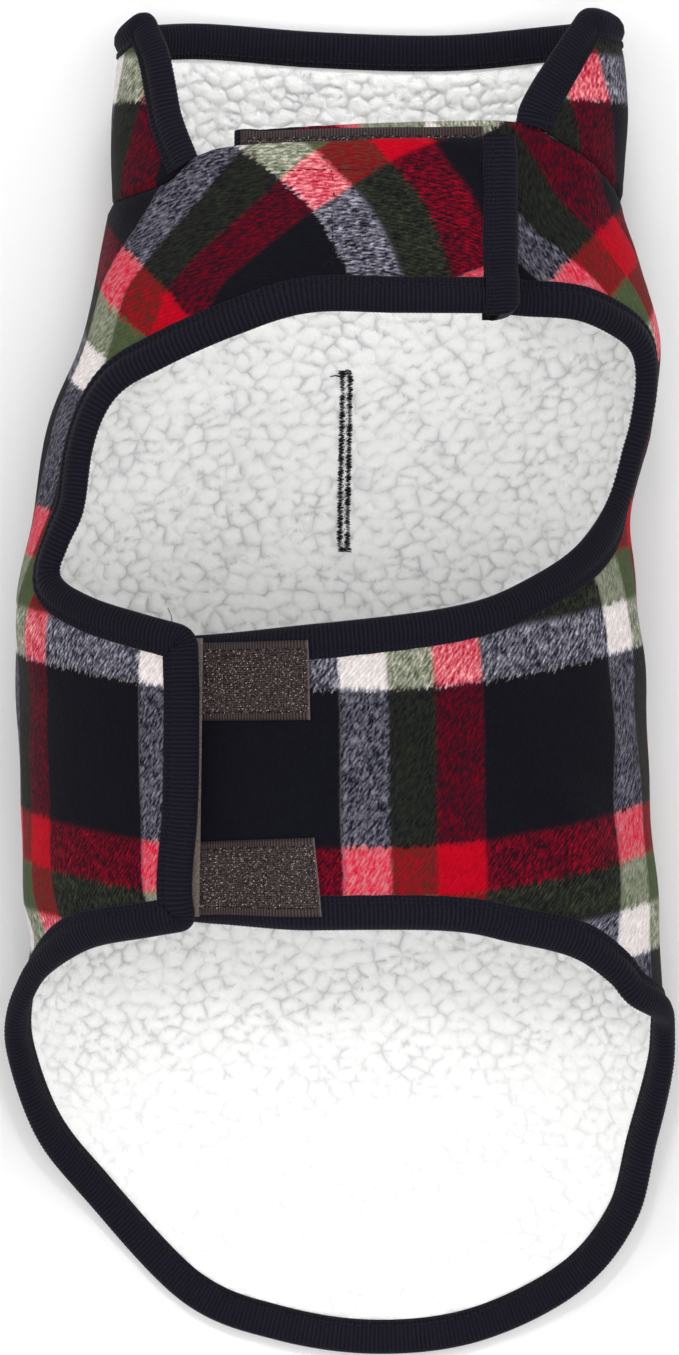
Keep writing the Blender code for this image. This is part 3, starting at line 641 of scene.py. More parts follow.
def panel_outline(plain, bound, step):
    """A panel's outline from its plain and its bound edge, which both run from left to right."""
    return clockwise(np.vstack([resampled(plain, step)[:-1], resampled(bound, step)[:0:-1]]))


def on_floor(points):
    """The points, with those that would be under the floor raised to it."""
    return np.column_stack([points[:, :2], np.maximum(points[:, 2], 0)])


def make_shell(name, plain, bound, check, seed, sewn=(), slit=None):
    outline = panel_outline(plain, bound, SHELL_SPACING)
    pattern, faces = cut_panel(outline, staggered(outline, SHELL_SPACING), 0.55 * SHELL_SPACING)
    base, normals = form.place(pattern), outward(form.place, pattern)
    height = shell_height(pattern, bound, plain, seed, sewn, slit)
    outer = on_floor(base + normals * height[:, None])
    inner = base - normals * SHELL_WALL + normals * np.minimum(height, 0)[:, None]
    marks = check(pattern)
    sides = closed_sheet(outer, inner, faces, faces, len(outline))
    return new_piece(name, flannel, *sides, np.vstack([marks, marks]))


NECK_SEWN = (  # the lines of stitches that hold the closure's loop tape inside the left neck wing
    lying("over", (-18.9, 160.2), (14, 160.8), (46.5, 161.2)),
    lying("over", (-2.8, 161), (-2.6, 146), (-2.4, 129.5)),
)
neck_sewn = [resampled(on_pattern(line, -1), 0.5) for line in NECK_SEWN]
SLIT_X, SLIT_ALONG, SLIT_LENGTH = 1.6, 70.3, 57.5  # the leash slit in the back


def on_back(places):
    """Places in the flat middle of the back, across and along, on the pattern."""
    middles = np.array([form.sizes(along)[:2].mean() for along in places[:, 1]])
    return np.stack([places[:, 0] - middles, places[:, 1]], axis=1)


slit_ends = np.array([(SLIT_X, SLIT_ALONG + end * SLIT_LENGTH / 2) for end in (-1, 1)])
slit_line = on_back(resampled(slit_ends, 0.5))
body_shell = make_shell("body_flannel", body_neck, body_bound, check_on_body, 3, neck_sewn, slit_line)
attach(body_shell, "root")
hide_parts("body_shell")

# ---------------------------------------------------------------------------------------------- body lining
# The inside of the body is sherpa, a knit with a deep curled pile that clumps into soft round nubs. It is cut
# like the shell, and the binding's stitches and the neck seam press its pile flat.
PILE, PILE_PRESSED = 3.0, 1.2
BINDING_PRESS, SEAM_PRESS = (8.6, 14), (0.5, 6)  # mm from each edge, where the pile is flat and where full
LEFT_WINGS_END = (-150.0, -165.0)  # mm round to the left, at the neck and at the belly
LINING_SPACING, HIDDEN_SPACING = 1.5, 3.0
SEEN_REACH = 122.0  # mm round from the middle of the back, past which the lining faces away and has no nubs
NUB, NUB_HEIGHT = 5.6, 1.5
NUB_STRETCH = np.array((1.25, 0.86))  # the pile is brushed, so that its nubs are wider than long
MERGED = 0.12  # the share of nubs that run together with the one beside them
CREASE_STEP = 2.0
PULL_ROUNDS = 8  # guesses at the places that the knit pulls onto the nubs as they are drawn
CREASE_WALL = 0.5  # mm from a crease to where a nub's side has risen

# Sherpa: matt white polyester fur. Light goes some way into it, and the creases between its nubs are in
# shade:
# that shade is painted grey into its colour.
sherpa, tree, shader = new_material(
    "sherpa pile", Roughness=1.0, Specular_IOR_Level=0.05, Sheen_Weight=0.1, Sheen_Roughness=0.6
)
cloth = add_node(tree, "UVMap", uv_map="cloth")
curls = add_node(tree, "TexNoise", cloth, Scale=0.5, Detail=3.0, Distortion=1.0)
fibres = add_node(tree, "TexNoise", cloth, Scale=1.4, Detail=2.0, Distortion=1.5)
height = add_node(tree, "Math", fibres, 0.35, curls, operation="MULTIPLY_ADD")
# Painted shade: the crease attribute greys the creases between nubs in the colour, and the curls add a random
# grey.
crease_shade = add_node(tree, "Attribute", attribute_name="crease_shade").outputs["Fac"]
shade_and_curl_grey = add_node(tree, "Math", curls, -0.3, 0.16, operation="MULTIPLY_ADD")
shade_and_curl_grey = add_node(tree, "Math", crease_shade, shade_and_curl_grey, operation="ADD")
tint = add_node(tree, "ValToRGB", shade_and_curl_grey, stops=((0.0, "FFFFFE"), (1.0, "C8C8C9")))
bump = add_node(tree, "Bump", Height=height, Strength=0.4, Distance=0.0015)
feed(shader, Base_Color=tint, Normal=bump)


def nub_middles(outline, seed):
    """The points that the pile's curls clump round, in staggered rows, each moved at random, and for each the
    number of the nub that it is a part of."""
    random = np.random.default_rng(seed)
    low, high = outline.min(axis=0) - 2 * NUB, outline.max(axis=0) + 2 * NUB
    middles = staggered(np.array([low, high]) / NUB_STRETCH, NUB)
    starts_nub = random.random(len(middles)) > MERGED
    nubs = np.maximum.accumulate(np.where(starts_nub, np.arange(len(middles)), 0))
    return middles + random.uniform(-0.42, 0.42, middles.shape) * NUB, nubs


def nub_places(middles):
    """Points that draw the nubs: their middles, the creases midway between neighbours, and their sides."""
    placed, faces = triangulated(middles)
    a, b, c = (placed[faces[:, k]] for k in range(3))
    ab, ac = b - a, c - a
    ab_long, ac_long = (ab**2).sum(axis=1)[:, None], (ac**2).sum(axis=1)[:, None]
    twice = 2 * (ab[:, 0] * ac[:, 1] - ab[:, 1] * ac[:, 0])
    corners = a + (ac[:, ::-1] * ab_long - ab[:, ::-1] * ac_long) * (1, -1) / twice[:, None]
    edges = np.sort(np.vstack([faces[:, [0, 1]], faces[:, [1, 2]], faces[:, [2, 0]]]), axis=1)
    owners = np.tile(np.arange(len(faces)), 3)
    order = np.lexsort(edges.T)
    edges, owners = edges[order], owners[order]
    shared = np.flatnonzero((edges[1:] == edges[:-1]).all(axis=1))
    starts, ends = corners[owners[shared]], corners[owners[shared + 1]]
    one, other = placed[edges[shared, 0]], placed[edges[shared, 1]]
    wall = CREASE_WALL * unit(other - one)
    counts = np.round(np.linalg.norm(ends - starts, axis=1) / CREASE_STEP).astype(int)
    found = [placed, corners]
    for count in range(1, 6):
        own = counts == count
        for number in range(count):
            on_crease = starts[own] + (ends[own] - starts[own]) * (number + 0.5) / count
            found += [on_crease, on_crease - wall[own], on_crease + wall[own]]
        found += [(starts[own] + ends[own]) / 4 + side[own] / 2 for side in (one, other)]
    return np.vstack(found)


def pulled(pattern, seed):
    """How far the knit under the pile has pulled each nub out of line, mm."""
    wide = np.stack([smooth_noise(pattern, 14, seed + k) for k in (3, 4)], axis=1)
    narrow = np.stack([smooth_noise(pattern, 5, seed + k) for k in (5, 6)], axis=1)
    return 0.9 * wide + 0.35 * narrow


def make_lining(name, plain, bound, flattened, seed):
    """The sherpa inside a panel. Flattened says where else its pile is pressed, from 0 to 1."""
    outline = panel_outline(plain, bound, LINING_SPACING)
    middles, nubs = nub_middles(outline, seed)
    drawn = nub_places(middles)
    places = drawn
    for _ in range(PULL_ROUNDS):
        places = drawn - pulled(places, seed)
    places = places * NUB_STRETCH
    places = places[np.abs(places[:, 0]) < SEEN_REACH]
    beyond = staggered(outline, HIDDEN_SPACING)
    places = np.vstack([places, beyond[np.abs(beyond[:, 0]) >= SEEN_REACH]])
    pattern, faces = cut_panel(outline, places, 0.6)
    hidden, hidden_faces = cut_panel(outline, staggered(outline, 3 * HIDDEN_SPACING), HIDDEN_SPACING)
    from_binding, from_seam = (nearest(edge, pattern)[0] for edge in (bound, plain))
    full = eased(from_binding, *BINDING_PRESS) * eased(from_seam, *SEAM_PRESS) * (1 - flattened(pattern))
    tree = search_tree(middles)
    unstretched = pattern / NUB_STRETCH
    few = [tree.find_n((*place, 0), 4) for place in unstretched + pulled(unstretched, seed)]
    own = np.array([nubs[f[0][1]] for f in few])
    any_gap = np.array([f[1][2] - f[0][2] for f in few])
    others = ([g[2] for g in f if nubs[g[1]] != nub] or [f[3][2]] for f, nub in zip(few, own))
    gap = np.array([min(far) - f[0][2] for far, f in zip(others, few)])
    tone = np.random.default_rng(seed + 1).uniform(-0.5, 0.5, len(middles))[own]
    dome, any_dome = (np.sqrt(np.clip(g / (0.6 * NUB), 0, 1)) for g in (gap, any_gap))
    dimple = 0.25 * (1 - any_dome)
    openness = smooth_noise(pattern, 8, seed + 7) + 0.6 * smooth_noise(pattern, 25, seed + 9)
    openness = eased(openness, -0.8, 0.9)
    creased = np.maximum((1 - dome) * (0.6 + 0.4 * openness), dimple)
    pile = PILE + NUB_HEIGHT * (0.25 - creased) + 0.9 * tone * dome
    pile += 0.2 * smooth_noise(pattern, 3.2, seed + 8)
    thick = PILE_PRESSED + full * (pile - PILE_PRESSED)
    # Painted shade: how grey the colour is made in the creases between nubs, less where the pile is pressed
    # flat.
    crease_shade = (1 - dome) ** 1.5 * (0.2 + 0.65 * openness) * (0.3 + 0.7 * full)
    crease_shade *= 1 - 0.6 * eased(pattern[:, 1], -105, -145)  # on the open tail flap the painted crease shade fades: its pile is loose and it lies in brighter light
    top = SHELL_WALL + 0.2
    seen_points = form.place(pattern) - outward(form.place, pattern) * (top + thick)[:, None]
    hidden_points = form.place(hidden) - outward(form.place, hidden) * top
    sides = closed_sheet(hidden_points, seen_points, hidden_faces, faces, len(outline))
    piece = new_piece(name, sherpa, *sides, np.vstack([hidden, pattern]))
    kept = piece.data.attributes.new("crease_shade", "FLOAT", "POINT")
    kept.data.foreach_set("value", np.concatenate([np.zeros(len(hidden)), crease_shade]))
    return piece


def pressed_pile(pattern):
    """1 where a left wing's pile is pressed by the right wing under it, and less at the leash slit."""
    left_reach = np.where(pattern[:, 1] > NECK_FROM, *LEFT_WINGS_END)
    under_wing = eased(pattern[:, 0], left_reach + 12, left_reach)
    from_slit, _ = nearest(slit_line, pattern)
    return np.maximum(under_wing, 0.3 * eased(from_slit, 6.5, 2.0))


body_lining = make_lining("body_sherpa", body_neck, body_bound, pressed_pile, 11)
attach(body_lining, "root")
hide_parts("body_lining")

# --------------------------------------------------------------------------------------------- body binding
# A navy rib-knit tape is folded over the cut edges of shell and sherpa and sewn through with one line of
# stitches. The fold is plump with the cloth inside it, and the tape's ribs run over it from edge to edge.
RIB_PITCH, LOOP_PITCH = 1.4, 0.9
RIB_DEPTH = 0.2
STATION = 0.35  # mm between the binding's cross-sections
# The binding's cross-section, mm: how far in from the cloth's edge, how far out from the form, and rib share
BINDING_SECTION = (
    (10.2, 0.15, 0.2),
    (9.7, 0.95, 0.7),
    (8.6, 1.0, 0.6),
    (7.8, 0.5, 0.3),
    (7.1, 1.05, 0.8),
    (5.4, 2.0, 1.0),
    (3.2, 2.25, 1.0),
    (1.1, 1.6, 1.0),
    (-0.7, 0.1, 1.0),
    (-1.3, -1.4, 1.0),
    (-0.8, -3.0, 1.0),
    (1.0, -4.1, 1.0),
    (4.0, -4.4, 1.0),
    (6.7, -3.9, 0.7),
    (7.8, -3.4, 0.3),
    (9.7, -3.6, 0.4),
    (0.8, -2.8, 0.0),
    (0.8, 0.1, 0.0),
)
OUTER_FOLD = 7  # the row of the section where the tape's outer side starts to turn over the edge
FOLD_MIDDLE = -1.3  # mm out from the form, halfway round the fold
MITRE_STEP, MITRE_SPAN = 0.25, 26  # mm further in at each try, and mm along the edge that it is tried against
SLIGHT_BEND = 0.985  # the share of its reach that the tape keeps from the edge beside it, but in a corner

# Rib knit: a matt dark cotton and elastane tape. Its ribs' crests are painted lighter, a painted highlight
# where they catch a little light.
rib_knit, tree, shader = new_material(
    "navy rib knit", Roughness=0.85, Specular_IOR_Level=0.15, Sheen_Weight=0.04, Sheen_Roughness=0.4
)
cloth = add_node(tree, "UVMap", uv_map="cloth")
loops = add_node(tree, "Mapping", cloth, Scale=(1 / RIB_PITCH, 1 / LOOP_PITCH, 1))
fibres = add_node(tree, "TexNoise", loops, Scale=2.0, Detail=4.0)
along_tape = add_node(tree, "SeparateXYZ", cloth)
# Painted highlight: the colour lightens along each rib's crest.
ribs = add_node(tree, "Math", along_tape, math.tau / RIB_PITCH, operation="MULTIPLY")
ribs = add_node(tree, "Math", ribs, operation="COSINE")
tone = add_node(tree, "Math", ribs, 0.25, fibres, operation="MULTIPLY_ADD")
tint = add_node(tree, "ValToRGB", tone, stops=((0.25, "08070F"), (0.85, "191827")))
bump = add_node(tree, "Bump", Height=fibres, Strength=0.35, Distance=0.0004)
feed(shader, Base_Color=tint, Normal=bump)


def mitred(path, normals, most):
    """How far in from each point of a bound edge the tape can go before it meets itself in a corner."""
    limit = np.full(len(path), most)
    open_yet = np.ones(len(path), bool)
    for reach in np.arange(0.5, most + 0.01, MITRE_STEP):
        places = path + reach * normals
        nearest_by = np.full(len(path), 1e9)
        for shift in range(6, int(MITRE_SPAN / STATION), 2):
            for other in (np.roll(path, shift, axis=0), np.roll(path, -shift, axis=0)):
                nearest_by = np.minimum(nearest_by, np.linalg.norm(places - other, axis=1))
        crossed = nearest_by < reach * SLIGHT_BEND
        limit[open_yet & crossed] = reach - MITRE_STEP
        open_yet &= ~crossed
    return limit


def binding_line(bound, plain, straight=False):
    """A bound edge as (points, directions in from it, how far in the tape can go), a station apart. The
    cross-sections of a straight tape all run across the coat."""
    path = resampled(bound, STATION)
    placed = form.place(path)
    ahead = np.gradient(placed, axis=0)
    right, up = (form.place(path + step) - placed for step in ((1, 0), (0, 1)))
    inward = np.stack([-(up * ahead).sum(axis=1), (right * ahead).sum(axis=1)], axis=1)
    square = inward[:, :1] * right + inward[:, 1:] * up
    inward /= np.linalg.norm(square, axis=1)[:, None]
    square /= np.linalg.norm(square, axis=1)[:, None]
    if straight:
        inward = np.tile((1.0, 0.0), (len(path), 1))
    middle = plain.mean(axis=0) - path[len(path) // 2]
    if (inward[len(path) // 2] * middle).sum() < 0:
        inward, square = -inward, -square
    if straight:
        return path, inward, np.full(len(path), BINDING_WIDTH + 0.5)
    return path, inward, mitred(placed, square, BINDING_WIDTH + 0.5)


def facing_out(height):
    """1 where this height from the form is on the coat's outer side, and -1 where it is inside the coat."""
    return np.sign(height - FOLD_MIDDLE)


def tube_faces(rings, corners):
    """The faces of a closed tube through rings of so many corners each."""
    numbers = np.arange(rings * corners).reshape(rings, corners)
    after = np.roll(numbers, -1, axis=1)
    faces = np.stack([numbers[:-1], after[:-1], after[1:], numbers[1:]], axis=-1).reshape(-1, 4).tolist()
    return [*faces, numbers[0][::-1].tolist(), numbers[-1].tolist()]


def make_binding(name, bound, plain, lift=lambda places: 0.0, rounded=0.0, straight=False):
    """The folded tape along a bound edge, swept from its cross-section, with its ribs. A tape that lies round
    another is lifted off the cloth by what lift gives, and its free corners are rounded."""
    path, inward, limit = binding_line(bound, plain, straight)
    lifted = lift(path)
    at = lengths_along(path)
    from_end = np.clip(rounded - np.minimum(at, at[-1] - at), 0, rounded)
    cut_in = rounded - np.sqrt(rounded**2 - from_end**2)
    rib = np.cos(at / RIB_PITCH * math.tau)
    path = path + cut_in[:, None] * inward
    edge = form.place(path)
    away = -unit(form.place(path + 0.5 * inward) - edge)
    edge_normals = outward(form.place, path)
    girth = lengths_along(np.array([row[:2] for row in BINDING_SECTION]))
    rings, marks = [], []
    for round_tape, (inset, height, ribbed) in zip(girth, BINDING_SECTION):
        if inset > 0:
            reach = np.minimum(inset, limit)
            pattern = path + (reach - np.minimum(cut_in, inset))[:, None] * inward
            base, normals = form.place(pattern), outward(form.place, pattern)
            thinner = 1 - 0.25 * (inset - reach) / BINDING_WIDTH
        else:
            base, normals, thinner = edge - away * inset, edge_normals, 1.0
        depth = height * thinner + facing_out(height) * (ribbed * RIB_DEPTH * rib + lifted)
        rings.append(base + normals * depth[:, None])
        marks.append(np.stack([at, np.full(len(path), round_tape)], axis=1))
    rings, marks = np.stack(rings, axis=1), np.stack(marks, axis=1)
    faces = tube_faces(*rings.shape[:2])
    piece = new_piece(name, rib_knit, rings.reshape(-1, 3), faces, marks.reshape(-1, 2))
    bpy.ops.object.select_all(action="DESELECT")
    bpy.context.view_layer.objects.active = piece
    piece.select_set(True)
    bpy.ops.object.mode_set(mode="EDIT")
    bpy.ops.mesh.select_all(action="SELECT")
    bpy.ops.mesh.remove_doubles(threshold=0.00001)
    bpy.ops.mesh.normals_make_consistent(inside=False)
    bpy.ops.object.mode_set(mode="OBJECT")
    return piece


body_binding = make_binding("body_rib_binding", body_bound, body_neck)
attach(body_binding, "root")
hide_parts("body_binding")

# The end of the left neck wing has its own length of tape, folded over the corners of the other.
END_CORNER = 6.0


def end_lift(places):
    """How far the end tape is off the cloth, mm: a little, and more where it goes round the leg's binding."""
    return 0.55 + 1.75 * eased(places[:, 1], 129, 124.5)


neck_end = on_pattern([Point(55.5, along, "over") for along in np.arange(113.9, 172, 1.0)], -1)
neck_end_binding = make_binding("neck_end_rib_binding", neck_end, body_neck, end_lift, END_CORNER, True)
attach(neck_end_binding, "root")

# --------------------------------------------------------------------------------------------------- collar
# The collar is a second panel of flannel and sherpa, sewn to the body's neck edge and bound round its top.
# Its check runs straight, as it was cut on its own.
COLLAR_RIGHT_FRONT = lying("over", (59.5, 176.5), (62, 184), (72, 202), (78.5, 213.5))
COLLAR_TOP = [
    *lying("over", (78.5, 213.5)),
    *lying("side", (88.5, 211.5)),
    *lying("under", (67, 209.5), (32.5, 207), (-6, 208), (-46.5, 210.5)),
    *lying("side", (-70, 208)),
    *lying("over", (-62, 213)),
]
COLLAR_LEFT_FRONT = lying("over", (-62, 213), (-57, 199.5), (-52.5, 179), (-47, 164.5))
COLLAR_CREAM_ROW = 191.5
COLLAR_COLUMN = 100.7  # mm round to the left of the middle of the back, where a cream column runs
COLLAR_SLACK = -21.8  # mm of the check taken up across the back
COLLAR_SPREAD = 0.24  # mm round the coat that the check spreads for each mm down the collar

ends = [form.pattern_point(COLLAR_LEFT_FRONT[-1], -1), form.pattern_point(COLLAR_RIGHT_FRONT[0], 1)]
first, last = (int(np.linalg.norm(body_neck - end, axis=1).argmin()) for end in ends)
collar_seam = body_neck[first : last + 1]
across = np.gradient(collar_seam, axis=0)
upward = np.stack([-across[:, 1], across[:, 0]], axis=1)
collar_seam = collar_seam + (SEAM_GAP + 0.05) * unit(upward)
collar_left = np.vstack([collar_seam[:1], on_pattern(COLLAR_LEFT_FRONT[:-1], -1)[::-1]])
collar_right = np.vstack([on_pattern(COLLAR_RIGHT_FRONT[1:], 1)[::-1], collar_seam[-1:]])
collar_bound = rounded_join(smooth_path(collar_left), smooth_path(on_pattern(COLLAR_TOP)[::-1]))
collar_bound = resampled(rounded_join(collar_bound, smooth_path(collar_right)), 1.0)


def check_on_collar(pattern):
    down = np.clip(COLLAR_CREAM_ROW - pattern[:, 1], 0, None)
    spread = COLLAR_SPREAD * down * eased(np.abs(pattern[:, 0]), 60, 100) * np.sign(pattern[:, 0])
    column = -pattern[:, 0] - spread - COLLAR_COLUMN + COLLAR_SLACK * eased(pattern[:, 0], -90, 110)
    return np.stack([column, pattern[:, 1] - COLLAR_CREAM_ROW + CHECK], axis=1)


collar_shell = make_shell("collar_flannel", collar_seam, collar_bound, check_on_collar, 23)
collar_lining = make_lining("collar_sherpa", collar_seam, collar_bound, lambda pattern: 0.0, 29)
collar_binding = make_binding("collar_rib_binding", collar_bound, collar_seam)
for piece, node, slot in (
    (collar_shell, "collar_shell", "flannel"),
    (collar_lining, "collar_lining", "sherpa"),
    (collar_binding, "collar_binding", "rib_knit"),
):
    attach(piece, "root")
    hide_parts(node)

# ------------------------------------------------------------------------------------------------- stitches
# Navy polyester thread. One line of lockstitch runs along the groove of each binding, through all its layers,
# and two lines hold the closure's loop tape inside the left neck wing. A few thread ends are left loose.
STITCH = (1.9, 0.5, 0.42)  # mm long, wide and high
STITCH_STEP = 2.5
THREAD_GROOVE = 7.8  # mm in from a bound edge
OUTER_GROOVE, INNER_GROOVE = 0.62, -3.45  # mm out from the form
THREAD = 0.16  # mm, a loose thread's radius
THREAD_SIDES = 5

# Spun polyester: slightly shiny, with the twist of its plies showing as a slanting line.
thread_finish, tree, shader = new_material("navy sewing thread", Roughness=0.6, Specular_IOR_Level=0.2)
cloth = add_node(tree, "UVMap", uv_map="cloth")
plies = add_node(tree, "TexWave", cloth, Scale=0.9, Distortion=0.3, bands_direction="DIAGONAL").outputs["Fac"]
tint = add_node(tree, "ValToRGB", plies, stops=((0.0, "09080F"), (1.0, "191621")))
bump = add_node(tree, "Bump", Height=plies, Strength=0.4, Distance=0.0001)
feed(shader, Base_Color=tint, Normal=bump)

bpy.ops.object.select_all(action="DESELECT")
bpy.ops.mesh.primitive_uv_sphere_add(
    segments=6, ring_count=5, radius=0.5 * MM, rotation=(0, math.pi / 2, 0), scale=STITCH[::-1]
)
stitch = bpy.context.object
stitch.name = "stitch"
bpy.ops.object.transform_apply(location=False, rotation=True, scale=True)


def laid_copies(shape, places, forward, up, sizes=None):
    """The points and faces of copies of a shape, each turned to point forward with its top up."""
    points = np.array([vertex.co[:] for vertex in shape.data.vertices]) / MM
    faces = [list(face.vertices) for face in shape.data.polygons]
    ahead = unit(forward)
    side = unit(np.cross(up, ahead))
    turned = np.stack([ahead, side, np.cross(ahead, side)], axis=1)
    sizes = np.ones(len(places)) if sizes is None else sizes
    copies = places[:, None] + np.einsum("pk,ckj->cpj", points, turned) * sizes[:, None, None]
    starts = np.arange(len(places)) * len(points)
    marks = np.tile(points[:, :2], (len(places), 1))
    return copies.reshape(-1, 3), [[k + start for k in face] for start in starts for face in faces], marks


def joined(parts):
    """Several (points, faces, marks) as one."""
    starts = np.cumsum([0, *(len(points) for points, _, _ in parts)])
    faces = [[k + start for k in face] for (_, own, _), start in zip(parts, starts.tolist()) for face in own]
    return np.vstack([part[0] for part in parts]), faces, np.vstack([part[2] for part in parts])


def sewn_along(line, height, step=STITCH_STEP, wander=0.06, seed=1):
    """Stitches along a line on the pattern, at the height out from the form that a function gives."""
    spots = resampled(line, step)
    if len(spots) < 2:
        return np.zeros((0, 3)), [], np.zeros((0, 2))
    middles = (spots[1:] + spots[:-1]) / 2
    middles = middles + np.random.default_rng(seed).normal(0, wander, middles.shape)
    ahead = form.place(spots[1:]) - form.place(spots[:-1])
    up = outward(form.place, middles)
    heights = (height(middles) + np.zeros(len(middles)))[:, None]
    return laid_copies(stitch, form.place(middles) + up * heights, ahead, up * facing_out(heights))


def binding_seams(bound, plain, lift=lambda places: 0.0, straight=False, seed=1):
    """The stitches in the groove of a binding, outside and inside, but for the mitred corners."""
    path, inward, limit = binding_line(bound, plain, straight)
    groove = path + THREAD_GROOVE * inward
    clear = np.flatnonzero(limit >= THREAD_GROOVE)
    made = []
    for stretch in np.split(clear, np.flatnonzero(np.diff(clear) > 1) + 1):
        made.append(sewn_along(groove[stretch], lambda places: OUTER_GROOVE + lift(places), seed=seed))
        made.append(sewn_along(groove[stretch], lambda places: INNER_GROOVE, seed=seed))
    return made


def thread_end(places, radius=THREAD):
    """A loose end of thread through these places on the coat, mm."""
    path = resampled(smooth_path(np.array(places, float)), 0.5)
    ahead = np.gradient(path, axis=0)
    side = unit(np.cross(ahead, (0.3, 0.2, 1.0)))
    top = unit(np.cross(side, ahead))
    turns = np.arange(THREAD_SIDES) / THREAD_SIDES * math.tau
    thin = radius * np.linspace(1, 0.6, len(path))[:, None, None]
    ring = path[:, None] + thin * (
        np.cos(turns)[None, :, None] * side[:, None] + np.sin(turns)[None, :, None] * top[:, None]
    )
    marks = np.stack([np.repeat(lengths_along(path), THREAD_SIDES), np.tile(turns, len(path))], axis=1)
    return ring.reshape(-1, 3), tube_faces(len(path), THREAD_SIDES), marks


def body_surface(pattern):
    return shell_height(pattern, body_bound, body_neck, 3, neck_sewn, slit_line)


body_seams = binding_seams(body_bound, body_neck, seed=5)
body_seams += binding_seams(neck_end, body_neck, end_lift, straight=True, seed=6)
body_seams += [sewn_along(line, lambda places: body_surface(places) + 0.08, seed=7) for line in neck_sewn]
LOOSE_ENDS = (  # across, along and up, mm
    ((-52.9, 17.6, 93.0), (-53.1, 19.5, 95.2), (-54.2, 21.9, 95.8)),
    ((-2.4, 130.5, 86.6), (-3.4, 131.6, 87.6), (-5.0, 130.2, 87.9), (-5.6, 129.0, 87.4)),
    ((45.5, 118.2, 88.5), (46.0, 115.2, 89.0), (46.9, 113.4, 88.6)),
)
body_seams += [thread_end(places) for places in LOOSE_ENDS]
body_stitches = new_piece("body_stitches", thread_finish, *joined(body_seams))
collar_seams = binding_seams(collar_bound, collar_seam, seed=9)
collar_stitches = new_piece("collar_stitches", thread_finish, *joined(collar_seams))
for piece in (body_stitches, collar_stitches):
    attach(piece, "root")

# ---------------------------------------------------------------------------------------------- leash slit
# The leash comes out through a slit in the back. It is worked like a long buttonhole: a column of navy zigzag
# on each side of the cut and a bar tack at each end, sewn through shell and sherpa.
SATIN_LONG, SATIN_STEP = 1.9, 0.5
COLUMN_AT = 1.25  # mm from the slit's middle to the middle of a column of satin stitches
SATIN_DEPTH, SATIN_DEPTH_OUT = 4.15, 0.35  # mm in from the shell's outer side, inside the coat and out
SLIT_BEND, BEND_LENGTH = 0.4, 17
CUT_STEP = 2.1
BAR_TACK, BAR_STITCHES = 4.6, 5
slit_random = np.random.default_rng(17)


def satin(places, turn, long, depth):
    """Stitches round the slit, at places from its middle, each turned a little."""
    pattern = on_back(places + (SLIT_X, SLIT_ALONG))
    up = outward(form.place, pattern)
    centre = form.place(pattern) - up * depth[:, None]
    ahead = np.stack([np.cos(turn), np.sin(turn), slit_random.normal(0, 0.05, len(turn))], axis=1)
    return laid_copies(stitch, centre, ahead, -up, long / STITCH[0])


def worked_slit(depth):
    """The stitches on one side of the cloth: two columns, the threads along the cut, and the bar tacks."""
    half = SLIT_LENGTH / 2
    at = np.arange(-half, half, SATIN_STEP)
    many = len(at)
    made = []
    for side in (-1, 1):
        middle = side * COLUMN_AT + SLIT_BEND * np.sin(at / BEND_LENGTH)
        places = np.stack([middle + slit_random.normal(0, 0.1, many), at], axis=1)
        turn = slit_random.normal(0.16, 0.12, many)
        long = SATIN_LONG * slit_random.uniform(0.65, 1.25, many)
        made.append(satin(places, turn, long, depth + slit_random.normal(0, 0.12, many)))
    at = np.arange(-half, half, CUT_STEP)
    many = len(at)
    for shift in (-0.3, 0.25):
        places = np.stack([shift + SLIT_BEND * np.sin(at / BEND_LENGTH), at + shift], axis=1)
        turn = slit_random.normal(math.pi / 2, 0.25, many)
        made.append(satin(places, turn, np.full(many, 0.8), np.full(many, depth + 0.1)))
    many = BAR_STITCHES
    across = (BAR_TACK / 2 - 0.8) * np.linspace(-1, 1, many)
    for end in (-half, half):
        for row in (-0.6, -0.1, 0.4):
            places = np.stack([across, end + row + slit_random.normal(0, 0.1, many)], axis=1)
            turn = slit_random.normal(0, 0.2, many)
            made.append(satin(places, turn, np.full(many, 1.5), np.full(many, depth - 0.2)))
    return made


slit_seams = [
    *worked_slit(SATIN_DEPTH),
    *worked_slit(SATIN_DEPTH_OUT),
    thread_end(((0.3, 97.4, 4.2), (-1.3, 97.9, 4.9), (-3.2, 97.5, 4.8)), 0.28),
    thread_end(((0.6, 42.2, 4.2), (1.6, 41.2, 4.9), (2.6, 41.0, 4.6)), 0.26),
]
slit_stitches = new_piece("leash_slit_satin", thread_finish, *joined(slit_seams))
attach(slit_stitches, "root")
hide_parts("leash_slit_stitching")

# ------------------------------------------------------------------------------------------- closure tapes
# Hook-and-loop tape in brown nylon closes the wings. The hook tape has woven edges and a field of fine stiff
# hooks, and is sewn round its edge to the right wings. The loop tape is sewn inside the end of the left belly
# wing.
TAPE_WALL = 0.9
EDGE_SLOPE, EDGE_THINNER = 1.2, 0.35  # mm in from its edge that a tape is thinner, and by what share
TAPE_SPACING = 1.1
TAPE_TALL = 25.0  # mm, from one woven edge to the other
WOVEN_EDGE = 2.4
EDGE_RIB_PITCH = 0.95  # mm, coarser than the real 0.7 so that the ribs show
HOOK_STEP = 1.1

